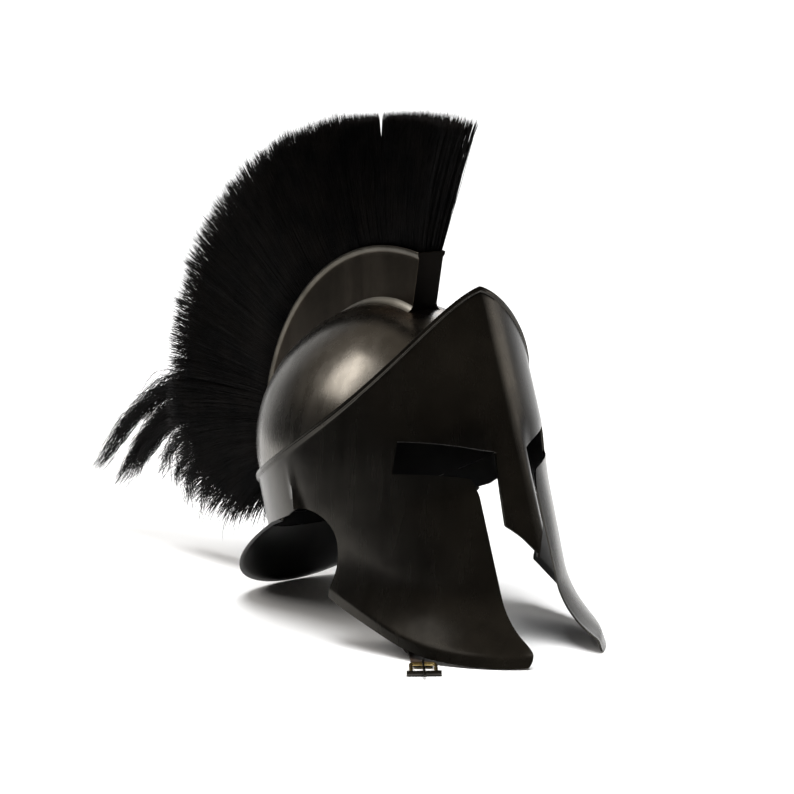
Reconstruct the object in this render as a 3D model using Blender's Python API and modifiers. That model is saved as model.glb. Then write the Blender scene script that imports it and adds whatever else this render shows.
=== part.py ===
"""Corinthian helmet of blackened sheet steel, with an upright crest of black horse hair.

The helmet is drawn as it is worn: x to the wearer's left, the face at -y, z up, the middle of the
head at x = y = 0. All of it then hangs on one empty, which leans it back until it stands on its two
cheek tips and on the back of its neck guard, as it does on a table.
"""
import math

import bmesh
import bpy
from mathutils import Matrix, Vector

# Face mask: the plate that wraps the head, in metres
HALF_WIDTH = 0.104
FRONT_LENGTH = 0.1346
REAR_LENGTH = 0.126
KEEL_SLOPE = 0.16
MASK_WALL = 0.0016
CHEEK_NARROWING = 0.006
CHEEK_SETBACK = 0.009
NASAL_HALF_WIDTH = 0.0178
RIM_REAR_HEIGHT = 0.120
PEAK_RISE = 0.0905
PEAK_FALL = 0.070
RIM_BEAD_HEIGHT = 0.0045
RIM_BEAD_PROUD = 0.0024
BAND_BOTTOM = 0.083

# Cheek guards, seen from the side
CHEEK_TIP_DEPTH = 0.071
CHEEK_LENGTH = 0.124
CHEEK_RISE = 0.086
FLARE_FRONT = 0.030
FLARE_REAR = 0.005
FLARE_REACH = 0.056
FLOOR_TRIM = 0.0004

# Face gap and eye slots, seen from the front
FACE_GAP_HALF = 0.0285
FACE_GAP_TOP = 0.063
SLOT_INNER_X = 0.015
SLOT_OUTER_X = 0.072
SLOT_INNER_TOP = 0.0914
SLOT_RISE = 0.0225
SLOT_HEIGHT = 0.0225
NASAL_TIP_HEIGHT = 0.0118
NASAL_CORNER_RISE = 0.0250

# Ear arch, seen from the side
EAR_FRONT = 0.0293
EAR_REAR = 0.026
EAR_TOP = 0.086

# Skull dome
SKULL_WALL = 0.0012
SEAT_GAP = 0.0006
DOME_BASE = 0.130
DOME_HEIGHT = 0.106
DOME_FRONT_SETBACK = 0.0216
SKULL_BROW = 0.118
SKULL_NAPE = 0.094

# Neck guard
GUARD_WALL = 0.0014
GUARD_REACH = 0.0520
GUARD_SPREAD = 0.007
GUARD_DROP = 0.0385
GUARD_EAR_GAP = 0.006
WELD_GAP = 0.0003

# Crest box: a sheet channel on edge along the crown
CREST_CENTRE_Y = -0.0046
CREST_CENTRE_Z = 0.110
CREST_RADIUS = 0.165
CREST_WIDTH = 0.024
CREST_WALL = 0.0012
CREST_FRONT_DEG = 121.0
CREST_REAR_DEG = 8.0
CREST_FLANGE = 0.0015

# Hair plume
HAIR_LENGTH = 0.103
HAIR_REAR_EXTRA = 0.044
WISP_EXTRA = 0.150
WISP_DROOP_DEG = 6.0
PLUME_BASE_HALF = 0.0095
PLUME_TIP_HALF = 0.019
PLUME_FRONT_LEAN_DEG = 3.5
PLUME_REAR_DROOP_DEG = 11.0
PLUME_LOCKS = 30
BACKING_DEPTH = 0.030
HAIR_GAP = 0.0004

# Chin strap and its buckle
STRAP_WIDTH = 0.016
STRAP_WALL = 0.0020
STRAP_FLOOR_GAP = 0.0003
RIVET_RADIUS = 0.0022
RIVET_HEAD_RADIUS = 0.0046
RIVET_HEAD_HEIGHT = 0.0016
STRAP_OFF_WALL = 0.0022
STRAP_END_GAP = 0.0004
RIVET_ANGLE_DEG = 60.0
RIVET_HEIGHT = 0.066
STRAP_ABOVE_RIVET = 0.008
BUCKLE_WIDTH = 0.025
BUCKLE_LENGTH = 0.022
BUCKLE_WIRE = 0.0028
BUCKLE_LEAN_DEG = 6.0
PRONG_WIRE = 0.0018
PRONG_LENGTH = 0.030
STRAP_OUT = Vector((-0.60, -0.80, 0.0)).normalized()

# Lower edge of a cheek from its tip: shares of CHEEK_LENGTH back and of CHEEK_RISE up
CHEEK_EDGE = (
    {"back": 0.00, "up": 0.000},
    {"back": 0.12, "up": 0.065},
    {"back": 0.26, "up": 0.170},
    {"back": 0.41, "up": 0.290},
    {"back": 0.56, "up": 0.450},
    {"back": 0.74, "up": 0.680},
    {"back": 0.86, "up": 0.825},
    {"back": 1.00, "up": 1.000},
)

# Ear arch from the back to the cheek's rear corner: shares of the arch's length and height
EAR_ARCH = (
    {"forward": 0.00, "up": 0.93},
    {"forward": 0.20, "up": 0.98},
    {"forward": 0.43, "up": 1.00},
    {"forward": 0.68, "up": 0.93},
    {"forward": 0.87, "up": 0.82},
    {"forward": 0.98, "up": 0.68},
    {"forward": 1.00, "up": 0.56},
    {"forward": 0.97, "up": 0.42},
    {"forward": 0.89, "up": 0.26},
    {"forward": 0.65, "up": 0.00},
)

# Where the straps hang and lie below their rivets, in the room: shares of HALF_WIDTH across, of
# FRONT_LENGTH fore and aft, and of RIVET_HEIGHT above where a strap lies on the floor
NEAR_ROUTE = (
    {"across": -0.7933, "along": -0.2749, "up": 0.8136},
    {"across": -0.7356, "along": -0.3640, "up": 0.4045},
    {"across": -0.6779, "along": -0.4309, "up": 0.1470},
    {"across": -0.6587, "along": -0.4681, "up": 0.0409},
    {"across": -0.6779, "along": -0.5201, "up": 0.0061},
    {"across": -0.7452, "along": -0.5981, "up": 0.0000},
    {"across": -0.8365, "along": -0.6947, "up": 0.0000},
)
FAR_ROUTE = (
    {"across": 0.8125, "along": -0.2303, "up": 1.1015},
    {"across": 0.8077, "along": -0.2340, "up": 0.6621},
)

# Hair length round the fan: share of the fan from front to back, share of HAIR_REAR_EXTRA, of WISP_EXTRA
HAIR_FAN = (
    {"fan": 0.00, "rear": 0.10, "wisp": 0.00},
    {"fan": 0.15, "rear": 0.00, "wisp": 0.00},
    {"fan": 0.28, "rear": 0.18, "wisp": 0.00},
    {"fan": 0.45, "rear": 0.55, "wisp": 0.00},
    {"fan": 0.62, "rear": 0.90, "wisp": 0.00},
    {"fan": 0.76, "rear": 1.00, "wisp": 0.00},
    {"fan": 0.82, "rear": 0.98, "wisp": 0.65},
    {"fan": 0.85, "rear": 0.92, "wisp": 1.00},
    {"fan": 0.88, "rear": 0.85, "wisp": 0.85},
    {"fan": 0.92, "rear": 0.62, "wisp": 0.30},
    {"fan": 0.96, "rear": 0.10, "wisp": 0.10},
    {"fan": 1.00, "rear": -1.00, "wisp": 0.00},
)

FRONT_COLUMNS = 20
REAR_COLUMNS = 14
SKULL_SEGMENTS = 48
SKULL_RINGS = 24
ROUTE_STEPS = 4


def clear_scene():
    for existing in list(bpy.data.objects):
        bpy.data.objects.remove(existing, do_unlink=True)


def new_collection(name):
    collection = bpy.data.collections.new(name)
    bpy.context.scene.collection.children.link(collection)
    return collection


def make_material(name, colour, roughness, metallic):
    material = bpy.data.materials.new(name)
    material.use_nodes = True
    shader = material.node_tree.nodes["Principled BSDF"]
    shader.inputs["Base Color"].default_value = (*colour, 1.0)
    shader.inputs["Roughness"].default_value = roughness
    shader.inputs["Metallic"].default_value = metallic
    return material


def smooth(share):
    share = min(max(share, 0.0), 1.0)
    return share * share * (3.0 - 2.0 * share)


def read_table(table, key, value, at):
    """Straight interpolation between the rows of a table."""
    if at <= table[0][key]:
        return table[0][value]
    for low, high in zip(table, table[1:]):
        if at <= high[key]:
            share = (at - low[key]) / (high[key] - low[key])
            return low[value] + share * (high[value] - low[value])
    return table[-1][value]


def add_object(name, mesh_or_bm, material, collection, parent):
    """Makes one named piece from a bmesh and hangs it on the leaning empty."""
    mesh = bpy.data.meshes.new(name)
    mesh_or_bm.to_mesh(mesh)
    mesh_or_bm.free()
    mesh.materials.append(material)
    piece = bpy.data.objects.new(name, mesh)
    collection.objects.link(piece)
    piece.parent = parent
    return piece


def shade_round(piece, degrees=40.0):
    piece.data.shade_smooth()
    piece.data.set_sharp_from_angle(angle=math.radians(degrees))


def add_solidify(piece, wall):
    """Gives a sheet its wall, inwards from the drawn surface."""
    solidify = piece.modifiers.new("Wall", "SOLIDIFY")
    solidify.thickness = wall
    solidify.offset = -1.0
    solidify.use_even_offset = True
    solidify.use_quality_normals = True


def add_cut(piece, cutter):
    cut = piece.modifiers.new("Cut " + cutter.name, "BOOLEAN")
    cut.operation = "DIFFERENCE"
    cut.solver = "EXACT"
    cut.object = cutter


def prism(name, outline, axis, start, end, collection, parent):
    """A cutter: a flat outline of (across, height) points, drawn out along one axis."""
    bm = bmesh.new()
    place = {"x": lambda a, z: (start, a, z), "y": lambda a, z: (a, start, z)}[axis]
    verts = [bm.verts.new(place(across, height)) for across, height in outline]
    face = bm.faces.new(verts)
    drawn = bmesh.ops.extrude_face_region(bm, geom=[face])
    step = {"x": (end - start, 0.0, 0.0), "y": (0.0, end - start, 0.0)}[axis]
    moved = [item for item in drawn["geom"] if isinstance(item, bmesh.types.BMVert)]
    bmesh.ops.translate(bm, vec=step, verts=moved)
    bmesh.ops.recalc_face_normals(bm, faces=bm.faces)
    mesh = bpy.data.meshes.new(name)
    bm.to_mesh(mesh)
    bm.free()
    cutter = bpy.data.objects.new(name, mesh)
    collection.objects.link(cutter)
    cutter.parent = parent
    cutter.hide_render = True
    cutter.display_type = "WIRE"
    return cutter


def plan_point(angle, half_width):
    """The mask seen from above: angle 0 is the keel, pi the middle of the back."""
    x = half_width * math.sin(angle)
    if angle <= math.pi / 2:
        bow = FRONT_LENGTH - KEEL_SLOPE * half_width
        return x, -FRONT_LENGTH + KEEL_SLOPE * x + bow * (1.0 - math.cos(angle))
    return x, -REAR_LENGTH * math.cos(angle)


def plan_normal(angle, half_width):
    step = 0.01
    ax, ay = plan_point(max(angle - step, 0.0), half_width)
    bx, by = plan_point(min(angle + step, math.pi), half_width)
    length = math.hypot(bx - ax, by - ay)
    if angle < step:
        return 0.0, -1.0
    return (by - ay) / length, -(bx - ax) / length


def rim_height(angle):
    """Top edge of the mask: level at the back, swept up to a peak over the face."""
    y = plan_point(angle, HALF_WIDTH)[1]
    return RIM_REAR_HEIGHT + PEAK_RISE * math.exp(-(y + FRONT_LENGTH) / PEAK_FALL)


def lower_height(angle):
    """Lower edge of the mask: the cheek's edge, then straight up to the band at the ear."""
    y = plan_point(angle, HALF_WIDTH)[1]
    back = y + FRONT_LENGTH
    if back <= CHEEK_LENGTH:
        return -CHEEK_TIP_DEPTH + CHEEK_RISE * read_table(CHEEK_EDGE, "back", "up", back / CHEEK_LENGTH)
    corner = -CHEEK_TIP_DEPTH + CHEEK_RISE
    rise = (back - CHEEK_LENGTH) / (FRONT_LENGTH + 0.3 * EAR_REAR - CHEEK_LENGTH)
    return min(corner + rise * (BAND_BOTTOM - corner), BAND_BOTTOM)


def mask_point(angle, z, proud=0.0):
    """A point of the mask's outer face, with its cheeks set back and flared at the bottom."""
    narrow = CHEEK_NARROWING * smooth((BAND_BOTTOM - z) / (2.0 * FLARE_REACH))
    x, y = plan_point(angle, HALF_WIDTH - narrow)
    nx, ny = plan_normal(angle, HALF_WIDTH - narrow)
    inset = smooth((x - 0.5 * NASAL_HALF_WIDTH) / (FACE_GAP_HALF - 0.5 * NASAL_HALF_WIDTH))
    below = smooth((RIM_REAR_HEIGHT - z) / (RIM_REAR_HEIGHT - FACE_GAP_TOP))
    y += CHEEK_SETBACK * inset * below * max(math.cos(angle), 0.0)
    front_share = min(max(1.0 - (y + FRONT_LENGTH) / CHEEK_LENGTH, 0.0), 1.0)
    rise = max(z - lower_height(angle), 0.0)
    curl = max(1.0 - rise / FLARE_REACH, 0.0) ** 2
    flare = (FLARE_REAR + (FLARE_FRONT - FLARE_REAR) * front_share ** 2) * curl
    if lower_height(angle) >= BAND_BOTTOM:
        flare = 0.0
    out = proud + flare
    return Vector((x + nx * out, y + ny * out, z))


def column_angles():
    """Plan angles of the mask's columns, closer together towards the keel."""
    front = [0.5 * math.pi * (k / FRONT_COLUMNS) ** 1.15 for k in range(FRONT_COLUMNS)]
    rear = [0.5 * math.pi * (1.0 + k / REAR_COLUMNS) for k in range(REAR_COLUMNS + 1)]
    return front + rear


def mask_rows(angle):
    """Heights and bead of one column, from its lower edge to the rim."""
    low = lower_height(angle)
    high = rim_height(angle)
    top = high - 1.6 * RIM_BEAD_HEIGHT
    shares = (0.0, 0.05, 0.11, 0.18, 0.27, 0.38, 0.52, 0.68, 0.84, 1.0)
    rows = [(low + share * (top - low), 0.0) for share in shares]
    rows.append((high - RIM_BEAD_HEIGHT, RIM_BEAD_PROUD))
    rows.append((high, RIM_BEAD_PROUD))
    return rows


def sheet_from_columns(columns, mirror):
    """An open sheet between columns of points; the mirrored half is welded on at x = 0."""
    bm = bmesh.new()
    grid = [[bm.verts.new(point) for point in column] for column in columns]
    for left, right in zip(grid, grid[1:]):
        for row in range(len(left) - 1):
            bm.faces.new((left[row], left[row + 1], right[row + 1], right[row]))
    if mirror:
        bmesh.ops.mirror(bm, geom=bm.verts[:] + bm.edges[:] + bm.faces[:], matrix=Matrix.Identity(4),
                         merge_dist=0.00001, axis="X")
        bmesh.ops.remove_doubles(bm, verts=bm.verts, dist=0.00001)
    bmesh.ops.recalc_face_normals(bm, faces=bm.faces)
    outward = sum((face.normal.dot(face.calc_center_median()) for face in bm.faces))
    if outward < 0.0:
        bmesh.ops.reverse_faces(bm, faces=bm.faces)
    return bm


def face_opening():
    """Front outline of the eye slots, the nasal between them and the gap down the face."""
    corner_z = NASAL_TIP_HEIGHT + NASAL_CORNER_RISE
    slot_floor = SLOT_INNER_TOP - SLOT_HEIGHT
    tilt = SLOT_RISE / (SLOT_OUTER_X - SLOT_INNER_X)
    round_x = 0.35 * FACE_GAP_HALF
    half = [
        (0.0, NASAL_TIP_HEIGHT),
        (NASAL_HALF_WIDTH, corner_z),
        (SLOT_INNER_X, SLOT_INNER_TOP),
        (SLOT_OUTER_X, SLOT_INNER_TOP + SLOT_RISE),
        (SLOT_OUTER_X + 0.2 * SLOT_HEIGHT, SLOT_INNER_TOP + SLOT_RISE - SLOT_HEIGHT),
        (FACE_GAP_HALF + round_x, slot_floor + tilt * (FACE_GAP_HALF + round_x - SLOT_INNER_X)),
        (FACE_GAP_HALF + 0.3 * round_x, slot_floor + 0.2 * (FACE_GAP_TOP - slot_floor)),
        (FACE_GAP_HALF, FACE_GAP_TOP),
        (FACE_GAP_HALF, -0.2 * CHEEK_TIP_DEPTH),
        (FACE_GAP_HALF * 1.08, -0.75 * CHEEK_TIP_DEPTH),
        (FACE_GAP_HALF * 1.25, -1.0 * CHEEK_TIP_DEPTH),
        (FACE_GAP_HALF * 1.45, -1.5 * CHEEK_TIP_DEPTH),
    ]
    other = [(-x, z) for x, z in reversed(half[1:])]
    return half + other


def ear_opening():
    """Side outline of the arch cut out over the ear, open downwards."""
    length = EAR_FRONT + EAR_REAR
    corner_z = -CHEEK_TIP_DEPTH + CHEEK_RISE
    points = []
    for row in EAR_ARCH:
        points.append((EAR_REAR - row["forward"] * length, corner_z + row["up"] * (EAR_TOP - corner_z)))
    last_y = points[-1][0]
    points.append((last_y + 0.1 * length, corner_z - CHEEK_RISE))
    points.append((EAR_REAR, corner_z - CHEEK_RISE))
    return points


def build_mask(material, parts, cutters, parent):
    columns = []
    for angle in column_angles():
        columns.append([mask_point(angle, z, proud) for z, proud in mask_rows(angle)])
    for column in (columns[0], columns[-1]):
        for point in column:
            point.x = 0.0
    mask = add_object("face_mask", sheet_from_columns(columns, True), material, parts, parent)
    add_solidify(mask, MASK_WALL)
    reach = FRONT_LENGTH + FLARE_FRONT
    face = prism("face_cutter", face_opening(), "y", -2.0 * reach, -0.35 * FRONT_LENGTH, cutters, parent)
    ear = prism("ear_cutter", ear_opening(), "x", -2.0 * HALF_WIDTH, 2.0 * HALF_WIDTH, cutters, parent)
    add_cut(mask, face)
    add_cut(mask, ear)
    return mask


def skull_scale():
    """Half width, front and rear length of the skull's outer face at its base."""
    inset = MASK_WALL + SEAT_GAP
    return HALF_WIDTH - inset, FRONT_LENGTH - DOME_FRONT_SETBACK, REAR_LENGTH - inset


def build_skull(material, parts, parent):
    """Half a ball, drawn down to a skirt that sits inside the band."""
    half_width, front, rear = skull_scale()
    bm = bmesh.new()
    bmesh.ops.create_uvsphere(bm, u_segments=SKULL_SEGMENTS, v_segments=SKULL_RINGS, radius=1.0)
    everything = bm.verts[:] + bm.edges[:] + bm.faces[:]
    bmesh.ops.bisect_plane(bm, geom=everything, dist=0.00001, plane_co=(0, 0, 0.00001),
                           plane_no=(0, 0, 1), clear_inner=True)
    rim = [edge for edge in bm.edges if edge.is_boundary]
    drawn = bmesh.ops.extrude_edge_only(bm, edges=rim)
    skirt = {item for item in drawn["geom"] if isinstance(item, bmesh.types.BMVert)}
    for vert in bm.verts:
        x, y, z = vert.co
        length = front if y < 0.0 else rear
        height = DOME_BASE + z * DOME_HEIGHT
        if vert in skirt:
            height = SKULL_NAPE + (SKULL_BROW - SKULL_NAPE) * 0.5 * (1.0 - y)
        vert.co = (x * half_width, y * length, height)
    bmesh.ops.recalc_face_normals(bm, faces=bm.faces)
    if sum(face.normal.z * face.calc_area() for face in bm.faces) < 0.0:
        bmesh.ops.reverse_faces(bm, faces=bm.faces)
    skull = add_object("skull", bm, material, parts, parent)
    add_solidify(skull, SKULL_WALL)
    shade_round(skull)
    return skull


def guard_edge(share):
    """Top and lower edge of the neck guard: share 0 is at the ear, 1 the middle of the back."""
    start = math.acos(-(EAR_REAR + GUARD_EAR_GAP) / REAR_LENGTH)
    angle = start + share * (math.pi - start)
    x, y = plan_point(angle, HALF_WIDTH - CHEEK_NARROWING * 0.02)
    top = Vector((x, y, BAND_BOTTOM - WELD_GAP))
    out = GUARD_REACH * (1.0 - (1.0 - share) ** 3)
    drop = GUARD_DROP * math.sin(0.5 * math.pi * share) ** 1.2
    spread = GUARD_SPREAD * math.sin(math.pi * share)
    return top, top + Vector((spread, max(out, GUARD_WALL), -max(drop, GUARD_WALL)))


def build_guard(material, parts, parent):
    columns = []
    steps = 16
    for step in range(steps + 1):
        top, rim = guard_edge(step / steps)
        column = []
        for share in (0.0, 0.12, 0.35, 0.65, 0.9, 1.0):
            sag = 0.0025 * math.sin(math.pi * share) * step / steps
            column.append(top.lerp(rim, share) + Vector((0.0, -sag, -sag)))
        columns.append(column)
    for point in columns[-1]:
        point.x = 0.0
    bm = sheet_from_columns(columns, True)
    guard = add_object("neck_guard", bm, material, parts, parent)
    add_solidify(guard, GUARD_WALL)
    return guard


def skull_radius(angle, x):
    """How far the skull's outer face lies from the crest's centre, along one spoke of the fan."""
    half_width, front, rear = skull_scale()
    low, high = 0.3 * CREST_RADIUS, 1.3 * CREST_RADIUS
    for _ in range(40):
        middle = 0.5 * (low + high)
        y = CREST_CENTRE_Y + middle * math.cos(angle)
        z = CREST_CENTRE_Z + middle * math.sin(angle) - DOME_BASE
        length = front if y < 0.0 else rear
        size = (x / half_width) ** 2 + (y / length) ** 2 + (max(z, 0.0) / DOME_HEIGHT) ** 2
        if size < 1.0:
            low = middle
        else:
            high = middle
    return high


def spoke_point(angle, radius, x):
    return Vector((x, CREST_CENTRE_Y + radius * math.cos(angle), CREST_CENTRE_Z + radius * math.sin(angle)))


def sweep_sections(sections, curved_ends=False):
    """A closed body through like sections, each a ring of points; a curved end is closed in strips."""
    bm = bmesh.new()
    rings = [[bm.verts.new(point) for point in section] for section in sections]
    count = len(rings[0])
    for near, far in zip(rings, rings[1:]):
        for k in range(count):
            n = (k + 1) % count
            bm.faces.new((near[k], near[n], far[n], far[k]))
    for ring in (list(reversed(rings[0])), rings[-1]):
        if curved_ends:
            for k in range(count // 2 - 1):
                bm.faces.new((ring[k], ring[k + 1], ring[count - 2 - k], ring[count - 1 - k]))
        else:
            bm.faces.new(ring)
    bmesh.ops.recalc_face_normals(bm, faces=bm.faces)
    return bm


def crest_angles(steps):
    front = math.radians(CREST_FRONT_DEG)
    rear = math.radians(CREST_REAR_DEG)
    return [front + (rear - front) * k / steps for k in range(steps + 1)]


def build_crest_box(material, parts, cutters, parent):
    """A block along the crown, hollowed right through so that sheet walls and end plates stay."""
    half = 0.5 * CREST_WIDTH
    sections = []
    for angle in crest_angles(26):
        foot = skull_radius(angle, half) + SEAT_GAP
        shoulder = CREST_RADIUS - 2.5 * CREST_FLANGE
        lip = half + CREST_FLANGE
        sections.append([
            spoke_point(angle, foot + half * 0.06, 0.0),
            spoke_point(angle, foot, half),
            spoke_point(angle, shoulder, half),
            spoke_point(angle, CREST_RADIUS - CREST_FLANGE, lip),
            spoke_point(angle, CREST_RADIUS, lip),
            spoke_point(angle, CREST_RADIUS, -lip),
            spoke_point(angle, CREST_RADIUS - CREST_FLANGE, -lip),
            spoke_point(angle, shoulder, -half),
            spoke_point(angle, foot, -half),
        ])
    box = add_object("crest_box", sweep_sections(sections), material, parts, parent)
    inner = half - CREST_WALL
    trough = []
    end_turn = CREST_WALL / CREST_RADIUS
    angles = crest_angles(26)
    angles[0] -= end_turn
    angles[-1] += end_turn
    for angle in angles:
        trough.append([
            spoke_point(angle, 0.7 * skull_radius(angle, half), inner),
            spoke_point(angle, 1.2 * CREST_RADIUS, inner),
            spoke_point(angle, 1.2 * CREST_RADIUS, -inner),
            spoke_point(angle, 0.7 * skull_radius(angle, half), -inner),
        ])
    mesh = bpy.data.meshes.new("trough_cutter")
    bm = sweep_sections(trough)
    bm.to_mesh(mesh)
    bm.free()
    cutter = bpy.data.objects.new("trough_cutter", mesh)
    cutters.objects.link(cutter)
    cutter.parent = parent
    cutter.hide_render = True
    cutter.display_type = "WIRE"
    add_cut(box, cutter)
    return box


def hair_reach(share):
    """Length of the hair beyond the channel, and how far a lock's tip stands out there."""
    rear = read_table(HAIR_FAN, "fan", "rear", share)
    wisp = read_table(HAIR_FAN, "fan", "wisp", share)
    return HAIR_LENGTH + HAIR_REAR_EXTRA * rear, WISP_EXTRA * wisp


def build_plume(material, parts, parent):
    """Locks of hair side by side round the fan, grown out of the strip that sits in the channel."""
    steps = 2 * PLUME_LOCKS
    turn = (CREST_WALL + HAIR_GAP) / skull_radius(math.radians(CREST_FRONT_DEG), 0.0)
    first = math.radians(CREST_FRONT_DEG) - turn
    last = math.radians(CREST_REAR_DEG) + turn
    lean = math.radians(PLUME_FRONT_LEAN_DEG)
    droop = math.radians(PLUME_REAR_DROOP_DEG)
    strip_half = 0.5 * CREST_WIDTH - CREST_WALL - HAIR_GAP
    sections = []
    for step in range(steps + 1):
        share = step / steps
        root_angle = first + (last - first) * share
        tip_angle = root_angle + lean * (1.0 - share) ** 3 - droop * share ** 4
        crown = 1.0 if step % 2 else 0.0
        length, wisp = hair_reach(share)
        radius = CREST_RADIUS + length + wisp * crown - 0.004 * (1.0 - crown)
        tip_angle -= math.radians(WISP_DROOP_DEG) * crown * wisp / WISP_EXTRA
        root = max(skull_radius(root_angle, 0.0) + SEAT_GAP, CREST_RADIUS - BACKING_DEPTH)
        taper = 1.0 - 0.35 * smooth((share - 0.8) / 0.2)
        rows = [(root, strip_half, root_angle), (CREST_RADIUS + 0.002, strip_half, root_angle)]
        for out, half in ((0.25, 0.35), (0.55, 0.75), (0.85, 1.0)):
            angle = root_angle + (tip_angle - root_angle) * out
            width = PLUME_BASE_HALF + (PLUME_TIP_HALF - PLUME_BASE_HALF) * half
            ridge = 0.0022 * out * (1.0 if crown else -1.0)
            rows.append((CREST_RADIUS + out * (radius - CREST_RADIUS), taper * (width + ridge), angle))
        rows.append((radius, taper * 0.45 * PLUME_TIP_HALF * (1.0 + 0.3 * crown), tip_angle))
        left = [spoke_point(angle, r, half) for r, half, angle in rows]
        right = [spoke_point(angle, r, -half) for r, half, angle in reversed(rows)]
        sections.append(left + right)
    return add_object("plume", sweep_sections(sections, True), material, parts, parent)


def resting_turn(pieces):
    """The lean at which the cheek tips and the neck guard's back touch one level floor."""
    depsgraph = bpy.context.evaluated_depsgraph_get()
    clouds = []
    for piece in pieces:
        mesh = piece.evaluated_get(depsgraph).to_mesh()
        clouds.append([(vert.co.y, vert.co.z) for vert in mesh.vertices])
    low, high = 0.0, math.radians(45.0)
    for _ in range(60):
        turn = 0.5 * (low + high)
        lowest = [min(z * math.cos(turn) - y * math.sin(turn) for y, z in cloud) for cloud in clouds]
        if lowest[0] < lowest[1]:
            low = turn
        else:
            high = turn
    return turn, lowest[0]


def ribbon(name, route, seated, sides, pointed, material, parts):
    """A strap along a route: flat on the cheek for its seated steps, then turned flat to the floor."""
    sections = []
    last = len(route) - 1
    for k, point in enumerate(route):
        along = (route[min(k + 1, last)] - route[max(k - 1, 0)]).normalized()
        across = sides[0].lerp(sides[1], smooth(2.0 * (k - seated) / (last - seated)))
        side = (across - along * across.dot(along)).normalized()
        up = along.cross(side).normalized()
        width = STRAP_WIDTH * (0.25 if pointed and k == last else 1.0)
        a = side * (0.5 * width)
        b = up * (0.5 * STRAP_WALL)
        corners = [point - a - b, point + a - b, point + a + b, point - a + b]
        sunk = STRAP_FLOOR_GAP - min(corner.z for corner in corners)
        lift = Vector((0.0, 0.0, max(sunk, 0.0)))
        sections.append([corner + lift for corner in corners])
    mesh = bpy.data.meshes.new(name)
    bm = sweep_sections(sections)
    bm.to_mesh(mesh)
    bm.free()
    mesh.materials.append(material)
    strap = bpy.data.objects.new(name, mesh)
    parts.objects.link(strap)
    return strap


def cheek_seat(side, height):
    """Inner face of a cheek beside the rivet, in the room: its place, the way inward and the level way."""
    angle = math.radians(RIVET_ANGLE_DEG)
    step = 0.02
    rise = step * HALF_WIDTH
    level = (mask_point(angle + step, height) - mask_point(angle - step, height)).normalized()
    upward = mask_point(angle, height + rise) - mask_point(angle, height - rise)
    inward = level.cross(upward).normalized()
    point = mask_point(angle, height)
    if inward.dot(point) > 0.0:
        inward = -inward
    place = bpy.data.objects["resting_place"].matrix_world @ Matrix.Diagonal((side, 1.0, 1.0, 1.0))
    turn = place.to_3x3()
    return place @ (point + inward * MASK_WALL), turn @ inward, turn @ level


def wire(name, points, radius, closed, material, parts):
    """A bent wire: a curve with a round section."""
    curve = bpy.data.curves.new(name, "CURVE")
    curve.dimensions = "3D"
    curve.bevel_depth = radius
    curve.bevel_resolution = 2
    curve.use_fill_caps = True
    spline = curve.splines.new("POLY")
    spline.points.add(len(points) - 1)
    for knot, point in zip(spline.points, points):
        knot.co = (*point, 1.0)
    spline.use_cyclic_u = closed
    curve.materials.append(material)
    bent = bpy.data.objects.new(name, curve)
    parts.objects.link(bent)
    return bent


def route_point(row):
    """A row of a strap's route as a point in the room."""
    lying = 0.5 * STRAP_WALL + STRAP_FLOOR_GAP
    return Vector((row["across"] * HALF_WIDTH, row["along"] * FRONT_LENGTH, lying + row["up"] * RIVET_HEIGHT))


def build_strap(name, side, table, end_points, pointed, leather, steel, parts, cutters):
    """One strap with its rivet: down the inside of the cheek and out along the floor."""
    off_wall = STRAP_OFF_WALL
    seat, inward, level = cheek_seat(side, RIVET_HEIGHT)
    points = []
    for height in (RIVET_HEIGHT + STRAP_ABOVE_RIVET, RIVET_HEIGHT, RIVET_HEIGHT - STRAP_ABOVE_RIVET):
        place, off, _ = cheek_seat(side, height)
        points.append(place + off * (off_wall + 0.5 * STRAP_WALL))
    points += [route_point(row) for row in table]
    route = smooth_route(points + end_points)
    seated = 2 * ROUTE_STEPS
    end_side = level
    if not pointed:
        end_side = Vector((-STRAP_OUT.y, STRAP_OUT.x, 0.0))
        if level.dot(end_side) < 0.0:
            end_side = -end_side
    strap = ribbon("chin_strap_" + name, route, seated, (level, end_side), pointed, leather, parts)
    turn = inward.to_track_quat("Z", "Y").to_matrix().to_4x4()
    stud = Matrix.Translation(seat + inward * WELD_GAP) @ turn
    shank = off_wall + STRAP_WALL + STRAP_END_GAP - WELD_GAP
    profile = (
        (0.0, RIVET_RADIUS),
        (shank, RIVET_RADIUS),
        (shank, RIVET_HEAD_RADIUS),
        (shank + 0.5 * RIVET_HEAD_HEIGHT, RIVET_HEAD_RADIUS),
        (shank + RIVET_HEAD_HEIGHT, 0.6 * RIVET_HEAD_RADIUS),
    )
    rivet = turned_piece("strap_rivet_" + name, profile, stud, steel, parts)
    hole = ((-STRAP_WALL, RIVET_RADIUS + WELD_GAP), (off_wall + 2.0 * STRAP_WALL, RIVET_RADIUS + WELD_GAP))
    cutter = turned_piece("hole_cutter_" + name, hole, stud, steel, cutters)
    cutter.hide_render = True
    cutter.display_type = "WIRE"
    add_cut(strap, cutter)
    return strap, rivet


def turned_piece(name, profile, place, material, collection):
    """A round piece from (height, radius) steps along its axis."""
    sections = []
    sides = 16
    for height, radius in profile:
        turns = [2.0 * math.pi * k / sides for k in range(sides)]
        sections.append([place @ Vector((radius * math.cos(t), radius * math.sin(t), height)) for t in turns])
    mesh = bpy.data.meshes.new(name)
    bm = sweep_sections(sections)
    bm.to_mesh(mesh)
    bm.free()
    if material:
        mesh.materials.append(material)
    piece = bpy.data.objects.new(name, mesh)
    collection.objects.link(piece)
    return piece


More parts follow.
